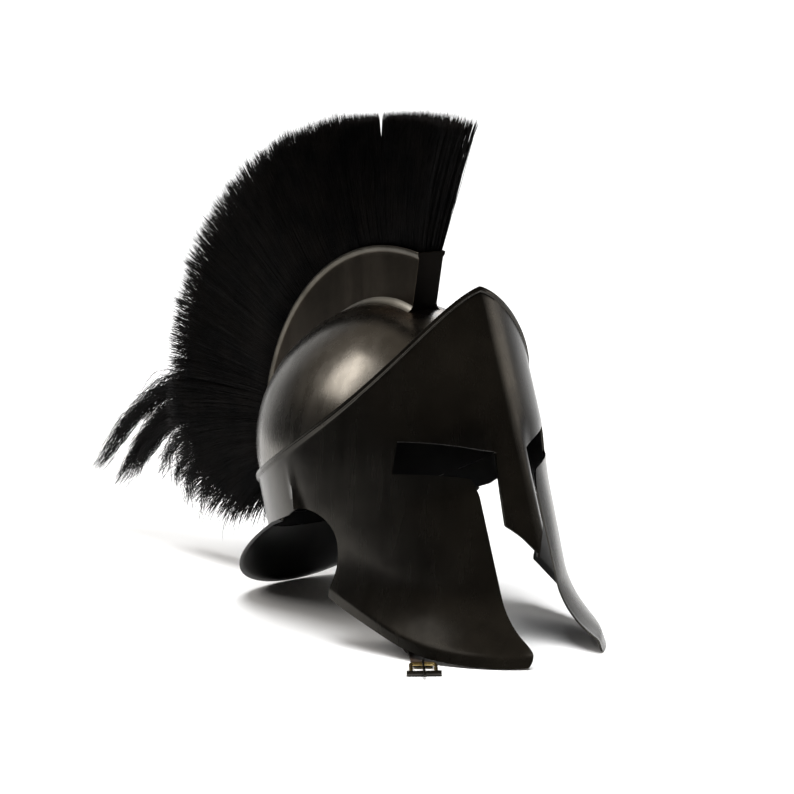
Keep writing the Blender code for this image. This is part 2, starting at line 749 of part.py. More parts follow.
def build_buckle(brass, steel, parts):
    """The frame at the end of the near strap, leaning down to the floor, and its prong."""
    lean = math.radians(BUCKLE_LEAN_DEG)
    along = STRAP_OUT * math.cos(lean) - Vector((0.0, 0.0, math.sin(lean)))
    across = Vector((-STRAP_OUT.y, STRAP_OUT.x, 0.0))
    radius = 0.5 * BUCKLE_WIRE
    foot = buckle_foot()
    head = foot - along * (BUCKLE_LENGTH - BUCKLE_WIRE)
    half = across * (0.5 * BUCKLE_WIDTH - radius)
    corners = [head - half, head + half, foot + half, foot - half]
    points = []
    for k, corner in enumerate(corners):
        before = (corners[k - 1] - corner).normalized() * BUCKLE_WIRE
        after = (corners[(k + 1) % 4] - corner).normalized() * BUCKLE_WIRE
        points += [corner + before, corner + 0.3 * (before + after), corner + after]
    wire("strap_buckle", points, radius, True, brass, parts)
    up = across.cross(along).normalized()
    if up.z < 0.0:
        up = -up
    rise = up * (radius + 0.5 * PRONG_WIRE + WELD_GAP)
    start = head + rise
    bend = foot + rise + along * radius
    end = start + (bend - start).normalized() * PRONG_LENGTH
    end.z = max(end.z, 0.5 * PRONG_WIRE + STRAP_FLOOR_GAP)
    wire("buckle_prong", [start, bend, end], 0.5 * PRONG_WIRE, False, steel, parts)


def buckle_foot():
    """Middle of the buckle's lower bar, which rests on the floor."""
    foot = route_point(NEAR_ROUTE[-1]) + STRAP_OUT * (0.5 * STRAP_WIDTH + BUCKLE_LENGTH)
    foot.z = 0.5 * BUCKLE_WIRE + STRAP_FLOOR_GAP
    return foot


def strap_end_at_buckle():
    """Where the near strap ends, just short of the buckle's upper bar."""
    lean = math.radians(BUCKLE_LEAN_DEG)
    along = STRAP_OUT * math.cos(lean) - Vector((0.0, 0.0, math.sin(lean)))
    head = buckle_foot() - along * (BUCKLE_LENGTH - BUCKLE_WIRE)
    return head - along * (0.5 * BUCKLE_WIRE + STRAP_END_GAP)


def smooth_route(points):
    """A smooth curve through the route's own points."""
    route = []
    last = len(points) - 1
    for k in range(last):
        p0 = points[max(k - 1, 0)]
        p1 = points[k]
        p2 = points[k + 1]
        p3 = points[min(k + 2, last)]
        for step in range(ROUTE_STEPS):
            t = step / ROUTE_STEPS
            route.append(0.5 * ((2.0 * p1) + (p2 - p0) * t + (2.0 * p0 - 5.0 * p1 + 4.0 * p2 - p3) * t * t
                                + (3.0 * p1 - p0 - 3.0 * p2 + p3) * t * t * t))
    route.append(points[last].copy())
    return route


def trim_to_floor(pieces, cutters):
    """Wears the lowest points flat, so that the helmet stands on small faces."""
    size = 4.0 * CREST_RADIUS
    cutter = turned_piece("floor_cutter", ((-size, size), (0.0, size)), Matrix.Identity(4), None, cutters)
    cutter.hide_render = True
    cutter.display_type = "WIRE"
    for piece in pieces:
        add_cut(piece, cutter)


def centre_on_floor(parts):
    """Puts the origin on the floor, under the middle of everything built."""
    depsgraph = bpy.context.evaluated_depsgraph_get()
    lows = []
    highs = []
    for piece in parts.objects:
        if piece.type != "EMPTY":
            shown = piece.evaluated_get(depsgraph)
            mesh = shown.to_mesh()
            points = [shown.matrix_world @ vert.co for vert in mesh.vertices]
            lows.append([min(point[k] for point in points) for k in (0, 1)])
            highs.append([max(point[k] for point in points) for k in (0, 1)])
    middle = [0.5 * (min(low[k] for low in lows) + max(high[k] for high in highs)) for k in (0, 1)]
    for item in bpy.data.objects:
        if item.parent is None:
            item.location.x -= middle[0]
            item.location.y -= middle[1]


def main():
    clear_scene()
    parts = new_collection("corinthian_helmet")
    cutters = new_collection("cutters")
    steel = make_material("blackened_steel", (0.035, 0.034, 0.031), 0.38, 1.0)
    dome_steel = make_material("skull_steel", (0.10, 0.095, 0.088), 0.36, 1.0)
    hair = make_material("black_horse_hair", (0.004, 0.004, 0.004), 0.5, 0.0)
    leather = make_material("strap_leather", (0.020, 0.012, 0.009), 0.6, 0.0)
    brass = make_material("buckle_brass", (0.45, 0.36, 0.16), 0.35, 1.0)

    stand = bpy.data.objects.new("resting_place", None)
    parts.objects.link(stand)
    mask = build_mask(steel, parts, cutters, stand)
    build_skull(dome_steel, parts, stand)
    guard = build_guard(steel, parts, stand)
    build_crest_box(steel, parts, cutters, stand)
    build_plume(hair, parts, stand)

    bpy.context.view_layer.update()
    turn, lowest = resting_turn([mask, guard])
    stand.rotation_euler = (-turn, 0.0, 0.0)
    stand.location = (0.0, 0.0, -lowest - FLOOR_TRIM)
    bpy.context.view_layer.update()
    trim_to_floor([mask, guard], cutters)

    near_end = strap_end_at_buckle()
    end_points = [near_end]
    build_strap("near", -1, NEAR_ROUTE, end_points, False, leather, steel, parts, cutters)
    build_strap("far", 1, FAR_ROUTE, [], True, leather, steel, parts, cutters)
    build_buckle(brass, steel, parts)
    bpy.context.view_layer.update()
    centre_on_floor(parts)


main()
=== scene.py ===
import math

import bmesh
import bpy
import numpy as np
from mathutils import Matrix, Vector


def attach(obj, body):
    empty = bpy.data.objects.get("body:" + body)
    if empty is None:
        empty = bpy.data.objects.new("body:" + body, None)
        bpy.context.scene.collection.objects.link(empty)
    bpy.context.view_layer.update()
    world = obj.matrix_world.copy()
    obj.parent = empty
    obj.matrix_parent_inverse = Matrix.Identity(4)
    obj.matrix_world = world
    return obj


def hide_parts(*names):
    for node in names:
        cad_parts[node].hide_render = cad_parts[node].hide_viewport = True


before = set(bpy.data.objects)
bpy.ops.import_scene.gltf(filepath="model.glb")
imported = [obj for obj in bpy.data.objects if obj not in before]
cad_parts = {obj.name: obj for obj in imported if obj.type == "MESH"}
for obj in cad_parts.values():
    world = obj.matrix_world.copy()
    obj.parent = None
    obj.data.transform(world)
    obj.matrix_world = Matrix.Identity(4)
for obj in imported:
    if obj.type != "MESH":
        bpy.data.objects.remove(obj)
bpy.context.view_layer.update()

# Room: a white sweep of paper under and behind the helmet, a dim room in front of it, and soft lamps.
# The paper is brighter than the picture can hold, and the helmet stands on it without a mark.
PAPER_WHITE = (0.86, 0.86, 0.86)
PAPER_HALF_WIDTH = 0.75
CAMERA_TURN = math.radians(39.214)
CAMERA_DROP = math.radians(8.672)
PAPER_WAY = (0.632, 0.775, 0.0)
VIEW_WAY = Vector((math.sin(CAMERA_TURN), math.cos(CAMERA_TURN), 0.0))

bpy.context.scene.view_settings.view_transform = "Standard"
bpy.context.scene.view_settings.look = "None"


def place_object(name, data):
    """Stands an object in the scene, at the origin and unturned."""
    made = bpy.data.objects.new(name, data)
    bpy.context.scene.collection.objects.link(made)
    return made


def start_material(name, **settings):
    """A new material with its nodes and links; the settings are the shader's plain values."""
    material = bpy.data.materials.new(name)
    material.use_nodes = True
    nodes = material.node_tree.nodes
    shader = nodes["Principled BSDF"]
    for socket, value in settings.items():
        shader.inputs[socket.replace("_", " ")].default_value = value
    return material, nodes, material.node_tree.links


def add_ramp(nodes, low, dark, high, light):
    """A colour ramp between two stops."""
    made = nodes.new("ShaderNodeValToRGB")
    for stop, position, colour in zip(made.color_ramp.elements, (low, high), (dark, light)):
        stop.position = position
        stop.color = (*colour, 1.0)
    return made


def stand_piece(name, bm, slots=0):
    """Puts a finished bmesh into the scene as an object, with empty places for its materials."""
    mesh = bpy.data.meshes.new(name)
    for _ in range(slots):
        mesh.materials.append(None)
    bm.to_mesh(mesh)
    bm.free()
    return place_object(name, mesh)


paper = start_material("studio_paper", Base_Color=(*PAPER_WHITE, 1.0), Roughness=0.9,
                       Specular_IOR_Level=0.1)[0]


def lay_paper(name, near, far, half_width, height):
    """Lays a sheet of paper along the way the camera looks."""
    bm = bmesh.new()
    bmesh.ops.create_grid(bm, x_segments=4, y_segments=4, size=1.0)
    for vert in bm.verts:
        run = near + (far - near) * 0.5 * (vert.co.y + 1.0)
        side = VIEW_WAY.cross(Vector((0.0, 0.0, 1.0))) * (half_width * vert.co.x)
        vert.co = VIEW_WAY * run + side + Vector((0.0, 0.0, height))
    sheet = stand_piece(name, bm)
    sheet.data.materials.append(paper)
    return sheet


lay_paper("paper_sheet", -0.9, 2.6, PAPER_HALF_WIDTH, 0.0)
paper_beyond = lay_paper("paper_beyond", -60.0, 60.0, 60.0, -0.002)
paper_beyond.visible_glossy = False

world = bpy.data.worlds.new("studio")
bpy.context.scene.world = world
world.use_nodes = True
sky = world.node_tree.nodes
sky_links = world.node_tree.links
sky_place = sky.new("ShaderNodeTexCoord")
paper_side = sky.new("ShaderNodeVectorMath")
paper_side.operation = "DOT_PRODUCT"
paper_side.inputs[1].default_value = PAPER_WAY
paper_glow = add_ramp(sky, 0.50, (0.050, 0.049, 0.048), 0.89, (0.98, 0.98, 0.98))
room_height = sky.new("ShaderNodeSeparateXYZ")
ceiling_glow = add_ramp(sky, 0.02, (0.0, 0.0, 0.0), 0.75, (0.32, 0.285, 0.24))
room_glow = sky.new("ShaderNodeVectorMath")
room_glow.operation = "MAXIMUM"
sky_links.new(sky_place.outputs["Generated"], paper_side.inputs[0])
sky_links.new(paper_side.outputs["Value"], paper_glow.inputs["Fac"])
sky_links.new(sky_place.outputs["Generated"], room_height.inputs["Vector"])
sky_links.new(room_height.outputs["Z"], ceiling_glow.inputs["Fac"])
sky_links.new(paper_glow.outputs["Color"], room_glow.inputs[0])
sky_links.new(ceiling_glow.outputs["Color"], room_glow.inputs[1])
seen_or_mirrored = sky.new("ShaderNodeLightPath")
studio_white = sky.new("ShaderNodeMix")
studio_white.data_type = "RGBA"
studio_white.inputs["B"].default_value = (1.15, 1.15, 1.15, 1.0)
sky_links.new(seen_or_mirrored.outputs["Is Camera Ray"], studio_white.inputs["Factor"])
sky_links.new(room_glow.outputs["Vector"], studio_white.inputs["A"])
sky_links.new(studio_white.outputs["Result"], sky["Background"].inputs["Color"])
world.cycles_visibility.diffuse = False

daylight = bpy.data.lights.new("daylight", "SUN")
daylight.energy = 4.6
daylight.angle = math.radians(42.0)
daylight_stand = place_object("daylight", daylight)
daylight_stand.rotation_euler = Vector((-0.10, -0.22, 1.0)).to_track_quat("Z", "Y").to_euler()
daylight_stand.visible_glossy = False


def soft_lamp(name, place, aim, width, height, power, colour=(1.0, 1.0, 1.0)):
    """A lamp behind a rectangle of cloth, turned to what it lights."""
    lamp = bpy.data.lights.new(name, "AREA")
    lamp.shape = "RECTANGLE"
    lamp.size = width
    lamp.size_y = height
    lamp.energy = power
    lamp.color = colour
    stand = place_object(name, lamp)
    stand.location = place
    stand.rotation_euler = (Vector(aim) - Vector(place)).to_track_quat("-Z", "Y").to_euler()


soft_lamp("lamp_left", (-1.70, 0.60, 2.05), (0.0, -0.1, 0.2), 0.95, 1.50, 30.0, (1.0, 0.96, 0.91))
soft_lamp("lamp_left_low", (-1.75, -0.55, 2.15), (0.0, -0.1, 0.2), 0.75, 1.20, 2.5, (0.97, 0.98, 1.0))
soft_lamp("lamp_right", (1.9, -0.6, 1.1), (0.0, -0.2, 0.15), 0.5, 1.3, 5.0, (1.0, 0.93, 0.84))
soft_lamp("lamp_right_back", (1.7, 0.9, 1.1), (0.0, -0.2, 0.15), 0.5, 1.4, 12.0)

camera_data = bpy.data.cameras.new("photo_camera")
camera_data.sensor_width = 36.0
camera_data.lens = 104.3
camera_data.clip_end = 40.0
photo_camera = place_object("photo_camera", camera_data)
photo_camera.location = (-1.12025, -1.50230, 0.44321)
photo_camera.rotation_euler = (math.pi / 2 - CAMERA_DROP, 0.0, -CAMERA_TURN)
bpy.context.scene.camera = photo_camera


# Face mask: one sheet of 1.6 mm steel bent round the head, with its rim rolled over, its cheeks
# flared at their lower edges, and the eye slots, face gap and ear arches sawn out of it.
# It is drawn as it is worn, and then leaned back until it stands on the floor as it does by itself.
LEAN_BACK = 0.34294
worn_to_room = Matrix.Translation((0.00385, -0.16644, 0.01878)) @ Matrix.Rotation(-LEAN_BACK, 4, "X")
HALF_WIDTH = 0.104
FRONT_LENGTH = 0.1346
REAR_LENGTH = 0.126
KEEL_SLOPE = 0.16
KEEL_ROUND = 0.0005
MASK_WALL = 0.0016
BAND_BOTTOM = 0.083
CHEEK_NARROWING = 0.006
CHEEK_SETBACK = 0.009
CHEEK_TIP_DEPTH = 0.071
CHEEK_LENGTH = 0.124
CHEEK_RISE = 0.086
FLARE_FRONT = 0.030
FLARE_REAR = 0.005
FLARE_REACH = 0.056
LIP_HEIGHT = 0.0085
LIP_OUT = 0.15
LIP_SOFT = 0.0012
FILED_EDGE = 0.0004
# The sheet's grid is closer at the keel and at the lower edge, by these powers
CLOSER_AT_KEEL = 1.12
CLOSER_AT_EDGE = 1.35
FLARE_GAIN = 1.33
CORNER_CUT = 0.0055
FACE_GAP_HALF = 0.0285
FACE_GAP_TOP = 0.063
NASAL_HALF_WIDTH = 0.0178
NASAL_TIP_HEIGHT = 0.0118
NASAL_CORNER_RISE = 0.0250
RIM_REAR_HEIGHT = 0.120
PEAK_RISE = 0.0905
PEAK_FALL = 0.070
PEAK_TIP = 0.0045
PEAK_TIP_FALL = 0.016
ARCH_PAST_MIDDLE = 0.0078
MERGE = 0.00002
CHEEK_EDGE_BACK = (0.00, 0.12, 0.26, 0.41, 0.56, 0.74, 0.86, 1.00)
CHEEK_EDGE_UP = (0.000, 0.065, 0.170, 0.290, 0.450, 0.680, 0.825, 1.000)
# Rolled rim from its foot to the top: height below the top edge, and how far it stands out
RIM_PROFILE = (
    (0.0075, 0.0000), (0.0055, 0.0000), (0.0045, 0.0001), (0.0040, 0.0005), (0.0037, 0.0010),
    (0.0034, 0.0014), (0.0030, 0.0016), (0.0022, 0.0015), (0.0015, 0.0015), (0.0008, 0.0017),
    (0.0003, 0.0016), (0.0000, 0.0011),
)


def smooth(share):
    share = min(max(share, 0.0), 1.0)
    return share * share * (3.0 - 2.0 * share)


def plan_point(angle, half_width):
    """The band seen from above: a keel in front (angle 0), widest at the ears, round behind (pi)."""
    x = half_width * math.sin(angle)
    if angle <= math.pi / 2:
        bow = FRONT_LENGTH - KEEL_SLOPE * half_width
        run = math.hypot(x, KEEL_ROUND) - KEEL_ROUND
        return x, -FRONT_LENGTH + KEEL_SLOPE * run + bow * (1.0 - math.cos(angle))
    return x, -REAR_LENGTH * math.cos(angle)


def plan_normal(angle, half_width):
    ax, ay = plan_point(max(angle - 0.01, 0.0), half_width)
    bx, by = plan_point(min(angle + 0.01, math.pi), half_width)
    if angle < 0.002:
        return 0.0, -1.0
    length = math.hypot(bx - ax, by - ay)
    return (by - ay) / length, -(bx - ax) / length


def rim_height(angle):
    """Top edge of the band: level behind, rising to the brow's peak."""
    back = plan_point(angle, HALF_WIDTH)[1] + FRONT_LENGTH
    peak = PEAK_RISE * math.exp(-back / PEAK_FALL)
    return RIM_REAR_HEIGHT + peak + PEAK_TIP * math.exp(-back / PEAK_TIP_FALL)


def lower_height(angle):
    """Lower edge: along the cheek, up to the ear arch, and level behind it."""
    back = plan_point(angle, HALF_WIDTH)[1] + FRONT_LENGTH
    if back <= CHEEK_LENGTH:
        up = float(np.interp(back / CHEEK_LENGTH, CHEEK_EDGE_BACK, CHEEK_EDGE_UP))
        return CHEEK_RISE * up - CHEEK_TIP_DEPTH
    corner = -CHEEK_TIP_DEPTH + CHEEK_RISE
    rise = (back - CHEEK_LENGTH) / (FRONT_LENGTH + ARCH_PAST_MIDDLE - CHEEK_LENGTH)
    return min(corner + rise * (BAND_BOTTOM - corner), BAND_BOTTOM)


def mask_point(angle, z, proud):
    """A place on one half of the sheet, with the cheek set back and flared at its foot."""
    narrow = CHEEK_NARROWING * smooth((BAND_BOTTOM - z) / (2.0 * FLARE_REACH))
    x, y = plan_point(angle, HALF_WIDTH - narrow)
    nx, ny = plan_normal(angle, HALF_WIDTH - narrow)
    inset = smooth((x - 0.5 * NASAL_HALF_WIDTH) / (FACE_GAP_HALF - 0.5 * NASAL_HALF_WIDTH))
    below = smooth((RIM_REAR_HEIGHT - z) / (RIM_REAR_HEIGHT - FACE_GAP_TOP))
    y += CHEEK_SETBACK * inset * below * max(math.cos(angle), 0.0)
    low = lower_height(angle)
    front_share = min(max(1.0 - (y + FRONT_LENGTH) / CHEEK_LENGTH, 0.0), 1.0)
    rise = max(z - low, 0.0)
    turned = math.hypot(max(rise - LIP_HEIGHT, 0.0), LIP_SOFT) + LIP_HEIGHT - LIP_SOFT
    curl = FLARE_GAIN * max(1.0 - turned / FLARE_REACH, 0.0) ** 2
    flare = (FLARE_REAR + (FLARE_FRONT - FLARE_REAR) * front_share ** 2) * curl
    lip = LIP_OUT * front_share * max(LIP_HEIGHT - rise, 0.0)
    if low >= BAND_BOTTOM:
        flare = 0.0
        lip = 0.0
    return x + nx * (proud + flare + lip), y + ny * (proud + flare + lip), z


def face_outwards(bm, outward):
    """Turns all faces one way; outward says how far a face looks out."""
    bmesh.ops.recalc_face_normals(bm, faces=bm.faces)
    if sum(outward(face) for face in bm.faces) < 0.0:
        bmesh.ops.reverse_faces(bm, faces=bm.faces)


def give_wall(piece, thickness, offset=-1.0, even=False, inside=0):
    """Gives a sheet its thickness; inside is the step to the material of its inner side."""
    wall = piece.modifiers.new("Wall", "SOLIDIFY")
    wall.thickness = thickness
    wall.offset = offset
    wall.use_even_offset = even
    wall.material_offset = inside


mask_bm = bmesh.new()
bmesh.ops.create_grid(mask_bm, x_segments=200, y_segments=76, size=1.0)
plate_rows = sorted({round(vert.co.y, 5) for vert in mask_bm.verts})
row_of = {height: number for number, height in enumerate(plate_rows)}
first_rim_row = len(plate_rows) - len(RIM_PROFILE)
for vert in mask_bm.verts:
    side = 1.0 if vert.co.x >= 0.0 else -1.0
    angle = math.pi * abs(vert.co.x) ** CLOSER_AT_KEEL
    row = row_of[round(vert.co.y, 5)]
    high = rim_height(angle)
    low = lower_height(angle)
    if row >= first_rim_row:
        drop, proud = RIM_PROFILE[row - first_rim_row]
        z = high - drop
    else:
        share = (row / first_rim_row) ** CLOSER_AT_EDGE
        z = low + share * (high - RIM_PROFILE[0][0] - low)
        proud = 0.0
    x, y, z = mask_point(angle, z, proud)
    vert.co = (side * x, y, z)
bmesh.ops.remove_doubles(mask_bm, verts=mask_bm.verts, dist=MERGE)
face_outwards(mask_bm, lambda face: face.normal.dot(face.calc_center_median()))
mask_plate = stand_piece("mask_plate", mask_bm, 2)
give_wall(mask_plate, MASK_WALL, even=True, inside=1)


def rounded_outline(corners, steps=5):
    """Rounds each corner of a flat outline by its own radius."""
    outline = []
    count = len(corners)
    for k, (a, b, radius) in enumerate(corners):
        here = Vector((a, b))
        before = Vector(corners[k - 1][:2]) - here
        after = Vector(corners[(k + 1) % count][:2]) - here
        reach = min(radius, 0.45 * before.length, 0.45 * after.length)
        if reach < 0.0001:
            outline.append(here)
            continue
        start = here + before.normalized() * reach
        end = here + after.normalized() * reach
        for step in range(steps + 1):
            t = step / steps
            outline.append(start.lerp(here, t).lerp(here.lerp(end, t), t))
    return outline


def saw_cutter(name, outline, along_y, start, end):
    """A solid drawn from a flat outline, which is taken out of the plate."""
    bm = bmesh.new()
    ring = [bm.verts.new((a, start, z) if along_y else (start, a, z)) for a, z in outline]
    way = (0.0, end - start, 0.0) if along_y else (end - start, 0.0, 0.0)
    drawn = bmesh.ops.extrude_face_region(bm, geom=[bm.faces.new(ring)])
    moved = [item for item in drawn["geom"] if isinstance(item, bmesh.types.BMVert)]
    bmesh.ops.translate(bm, vec=way, verts=moved)
    bmesh.ops.recalc_face_normals(bm, faces=bm.faces)
    return stand_piece(name, bm)


SLOT_INNER_X = 0.015
SLOT_OUTER_X = 0.072
SLOT_INNER_TOP = 0.0914
SLOT_RISE = 0.0225
SLOT_HEIGHT = 0.0225
EAR_FRONT = 0.0293
EAR_REAR = 0.026
EAR_TOP = 0.086
EAR_ARCH = (
    (0.00, 0.93), (0.20, 0.98), (0.43, 1.00), (0.68, 0.93), (0.87, 0.82),
    (0.98, 0.68), (1.00, 0.56), (0.97, 0.42), (0.89, 0.26), (0.65, 0.00),
)
slot_floor = SLOT_INNER_TOP - SLOT_HEIGHT
slot_tilt = SLOT_RISE / (SLOT_OUTER_X - SLOT_INNER_X)
gap_corner = FACE_GAP_HALF + 0.35 * (0.35 * FACE_GAP_HALF)
half_face = [
    (0.0, NASAL_TIP_HEIGHT, 0.0006),
    (NASAL_HALF_WIDTH, NASAL_TIP_HEIGHT + NASAL_CORNER_RISE, 0.0015),
    (SLOT_INNER_X, SLOT_INNER_TOP, 0.0012),
    (SLOT_OUTER_X, SLOT_INNER_TOP + SLOT_RISE, 0.0012),
    (SLOT_OUTER_X + 0.2 * SLOT_HEIGHT, SLOT_INNER_TOP + SLOT_RISE - SLOT_HEIGHT, 0.0012),
    (gap_corner, slot_floor + slot_tilt * (gap_corner - SLOT_INNER_X), 0.003),
    (FACE_GAP_HALF, FACE_GAP_TOP, 0.003),
    (FACE_GAP_HALF, -0.2 * CHEEK_TIP_DEPTH, 0.004),
    (FACE_GAP_HALF * 1.08, -0.75 * CHEEK_TIP_DEPTH, 0.004),
    (FACE_GAP_HALF * 1.25 - 0.0010, CORNER_CUT - CHEEK_TIP_DEPTH, 0.004),
    (FACE_GAP_HALF * 1.25 + CORNER_CUT, -0.0005 - CHEEK_TIP_DEPTH, 0.003),
    (FACE_GAP_HALF * 1.25 + 2.5 * CORNER_CUT, -1.5 * CHEEK_TIP_DEPTH, 0.0),
]
whole_face = half_face + [(-x, z, radius) for x, z, radius in reversed(half_face[1:])]
face_cutter = saw_cutter("face_cutter", rounded_outline(whole_face), True, -0.34, -0.35 * FRONT_LENGTH)
ear_length = EAR_FRONT + EAR_REAR
ear_corner = CHEEK_RISE - CHEEK_TIP_DEPTH
ear_rise = EAR_TOP - ear_corner
ear_outline = [(EAR_REAR - a * ear_length, ear_corner + b * ear_rise, 0.006) for a, b in EAR_ARCH]
ear_outline.append((ear_outline[-1][0] + 0.1 * ear_length, ear_corner - CHEEK_RISE, 0.0))
ear_outline.append((EAR_REAR, ear_corner - CHEEK_RISE, 0.0))
ear_cutter = saw_cutter("ear_cutter", rounded_outline(ear_outline), False, -0.25, 0.25)

for cutter in (face_cutter, ear_cutter):
    saw = mask_plate.modifiers.new("Saw", "BOOLEAN")
    saw.operation = "DIFFERENCE"
    saw.solver = "EXACT"
    saw.object = cutter


def settle(piece, sharp_degrees=35.0):
    """Keeps what the modifiers made as the piece's own mesh, standing in the room."""
    bpy.context.view_layer.update()
    done = bpy.data.meshes.new_from_object(piece.evaluated_get(bpy.context.evaluated_depsgraph_get()))
    done.transform(worn_to_room)
    for vert in done.vertices:
        vert.co.z = max(vert.co.z, 0.0)
    done.shade_smooth()
    done.set_sharp_from_angle(angle=math.radians(sharp_degrees))
    piece.modifiers.clear()
    piece.data = done


def ease_edges(piece, width, degrees=40.0):
    """Takes the sharpness off cut edges, as a file does."""
    ease = piece.modifiers.new("Filed edges", "BEVEL")
    ease.width = width
    ease.segments = 2
    ease.limit_method = "ANGLE"
    ease.angle_limit = math.radians(degrees)
    ease.use_clamp_overlap = True


settle(mask_plate)
for cutter in (face_cutter, ear_cutter):
    bpy.data.objects.remove(cutter, do_unlink=True)


def add_noise(nodes, links, scale, detail, roughness=0.5, place=None):
    """The value of a noise that is fixed to the piece."""
    made = nodes.new("ShaderNodeTexNoise")
    made.inputs["Scale"].default_value = scale
    made.inputs["Detail"].default_value = detail
    made.inputs["Roughness"].default_value = roughness
    links.new(place or nodes.new("ShaderNodeTexCoord").outputs["Object"], made.inputs["Vector"])
    return made.outputs["Fac"]


def add_range(nodes, links, value, *bounds):
    """Turns a value from one span into another; returns the node."""
    made = nodes.new("ShaderNodeMapRange")
    for socket, bound in zip(("From Min", "From Max", "To Min", "To Max"), bounds):
        made.inputs[socket].default_value = bound
    links.new(value, made.inputs["Value"])
    return made


def add_bump(nodes, links, height, strength, distance):
    """Low relief from a value, on the shader's surface."""
    made = nodes.new("ShaderNodeBump")
    made.inputs["Strength"].default_value = strength
    made.inputs["Distance"].default_value = distance
    links.new(height, made.inputs["Height"])
    links.new(made.outputs["Normal"], nodes["Principled BSDF"].inputs["Normal"])


def tint(nodes, links, value, *stops):
    """Colours the shader's surface by a value, between two stops."""
    tone = add_ramp(nodes, *stops)
    links.new(value, tone.inputs["Fac"])
    links.new(tone.outputs["Color"], nodes["Principled BSDF"].inputs["Base Color"])


def inside_material():
    """The inner side of the plates: near black, darker than the outer steel as painted shade for the hollow
    inside, and a little dusty.
    """
    material, nodes, links = start_material("inside_painted_shade", Roughness=0.36, Specular_IOR_Level=0.22)
    dust = add_noise(nodes, links, 60.0, 5.0)
    tint(nodes, links, dust, 0.4, (0.0012, 0.0012, 0.0014), 0.75, (0.0050, 0.0046, 0.0042))
    add_bump(nodes, links, dust, 0.15, 0.0005)
    return material


def steel_material(name, dark, light, roughness, streaks, ripple):
    """Sheet steel: mottled scale, faint rubbing streaks and a hand-beaten ripple."""
    material, nodes, links = start_material(name, Metallic=1.0)
    tint(nodes, links, add_noise(nodes, links, 17.0, 7.0, 0.62), 0.36, dark, 0.68, light)
    rub_place = nodes.new("ShaderNodeMapping")
    rub_place.inputs["Rotation"].default_value = (-LEAN_BACK, 0.0, 0.0)
    rub_place.inputs["Scale"].default_value = (90.0, 90.0, 5.0)
    links.new(nodes.new("ShaderNodeTexCoord").outputs["Object"], rub_place.inputs["Vector"])
    rubbing = add_noise(nodes, links, 1.0, 4.0, place=rub_place.outputs["Vector"])
    gloss = add_range(nodes, links, rubbing, 0.3, 0.7, roughness - streaks, roughness + streaks)
    links.new(gloss.outputs["Result"], nodes["Principled BSDF"].inputs["Roughness"])
    add_bump(nodes, links, add_noise(nodes, links, 24.0, 1.5), ripple, 0.004)
    return material


blackened_steel = steel_material("blackened_steel", (0.030, 0.028, 0.025), (0.058, 0.054, 0.047),
                                 0.26, 0.03, 0.09)
# The plates' inner sides are near black: painted shade for the hollow inside.
inside_painted_shade = inside_material()
mask_plate.data.materials[0] = blackened_steel
mask_plate.data.materials[1] = inside_painted_shade
ease_edges(mask_plate, FILED_EDGE)
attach(mask_plate, "root")
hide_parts("face_mask")


# Skull: a bowl of 1.2 mm steel beaten round, with a skirt that sits inside the mask's band.
# Its steel is coloured greyer than the mask's.
DOME_BASE = 0.130
DOME_HEIGHT = 0.106
SKULL_HALF_WIDTH = 0.1018
SKULL_FRONT = 0.113
SKULL_REAR = 0.1238
SKULL_BROW = 0.118
SKULL_NAPE = 0.094
SKULL_WALL = 0.0012

skull_bm = bmesh.new()
bmesh.ops.create_uvsphere(skull_bm, u_segments=128, v_segments=96, radius=1.0)
bmesh.ops.bisect_plane(skull_bm, geom=skull_bm.verts[:] + skull_bm.edges[:] + skull_bm.faces[:],
                       dist=0.00001, plane_co=(0, 0, 0.00001), plane_no=(0, 0, 1), clear_inner=True)
drawn = bmesh.ops.extrude_edge_only(skull_bm, edges=[edge for edge in skull_bm.edges if edge.is_boundary])
skirt = {item for item in drawn["geom"] if isinstance(item, bmesh.types.BMVert)}
for vert in skull_bm.verts:
    x, y, z = vert.co
    height = DOME_BASE + z * DOME_HEIGHT
    if vert in skirt:
        height = SKULL_NAPE + (SKULL_BROW - SKULL_NAPE) * 0.5 * (1.0 - y)
    vert.co = (x * SKULL_HALF_WIDTH, y * (SKULL_FRONT if y < 0.0 else SKULL_REAR), height)
face_outwards(skull_bm, lambda face: face.normal.z * face.calc_area())
skull_bowl = stand_piece("skull_bowl", skull_bm, 2)
give_wall(skull_bowl, SKULL_WALL, inside=1)
settle(skull_bowl)
skull_steel = steel_material("skull_steel", (0.095, 0.088, 0.077), (0.165, 0.155, 0.140), 0.27, 0.05, 0.10)
skull_bowl.data.materials[0] = skull_steel
skull_bowl.data.materials[1] = inside_painted_shade
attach(skull_bowl, "root")
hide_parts("skull")


# Neck guard: a curved plate of 1.4 mm steel welded under the back of the band. It sweeps out
# and down over the neck, and its lower edge is rolled.
GUARD_WALL = 0.0014
GUARD_REACH = 0.0520
GUARD_SPREAD = 0.007
GUARD_DROP = 0.0385
GUARD_TUCK = 0.0016
GUARD_SAG = 0.0025
GUARD_LIP = 0.0012
SEAM_GAP = 0.0003
GUARD_START = math.acos(-(EAR_REAR + 0.006) / REAR_LENGTH)

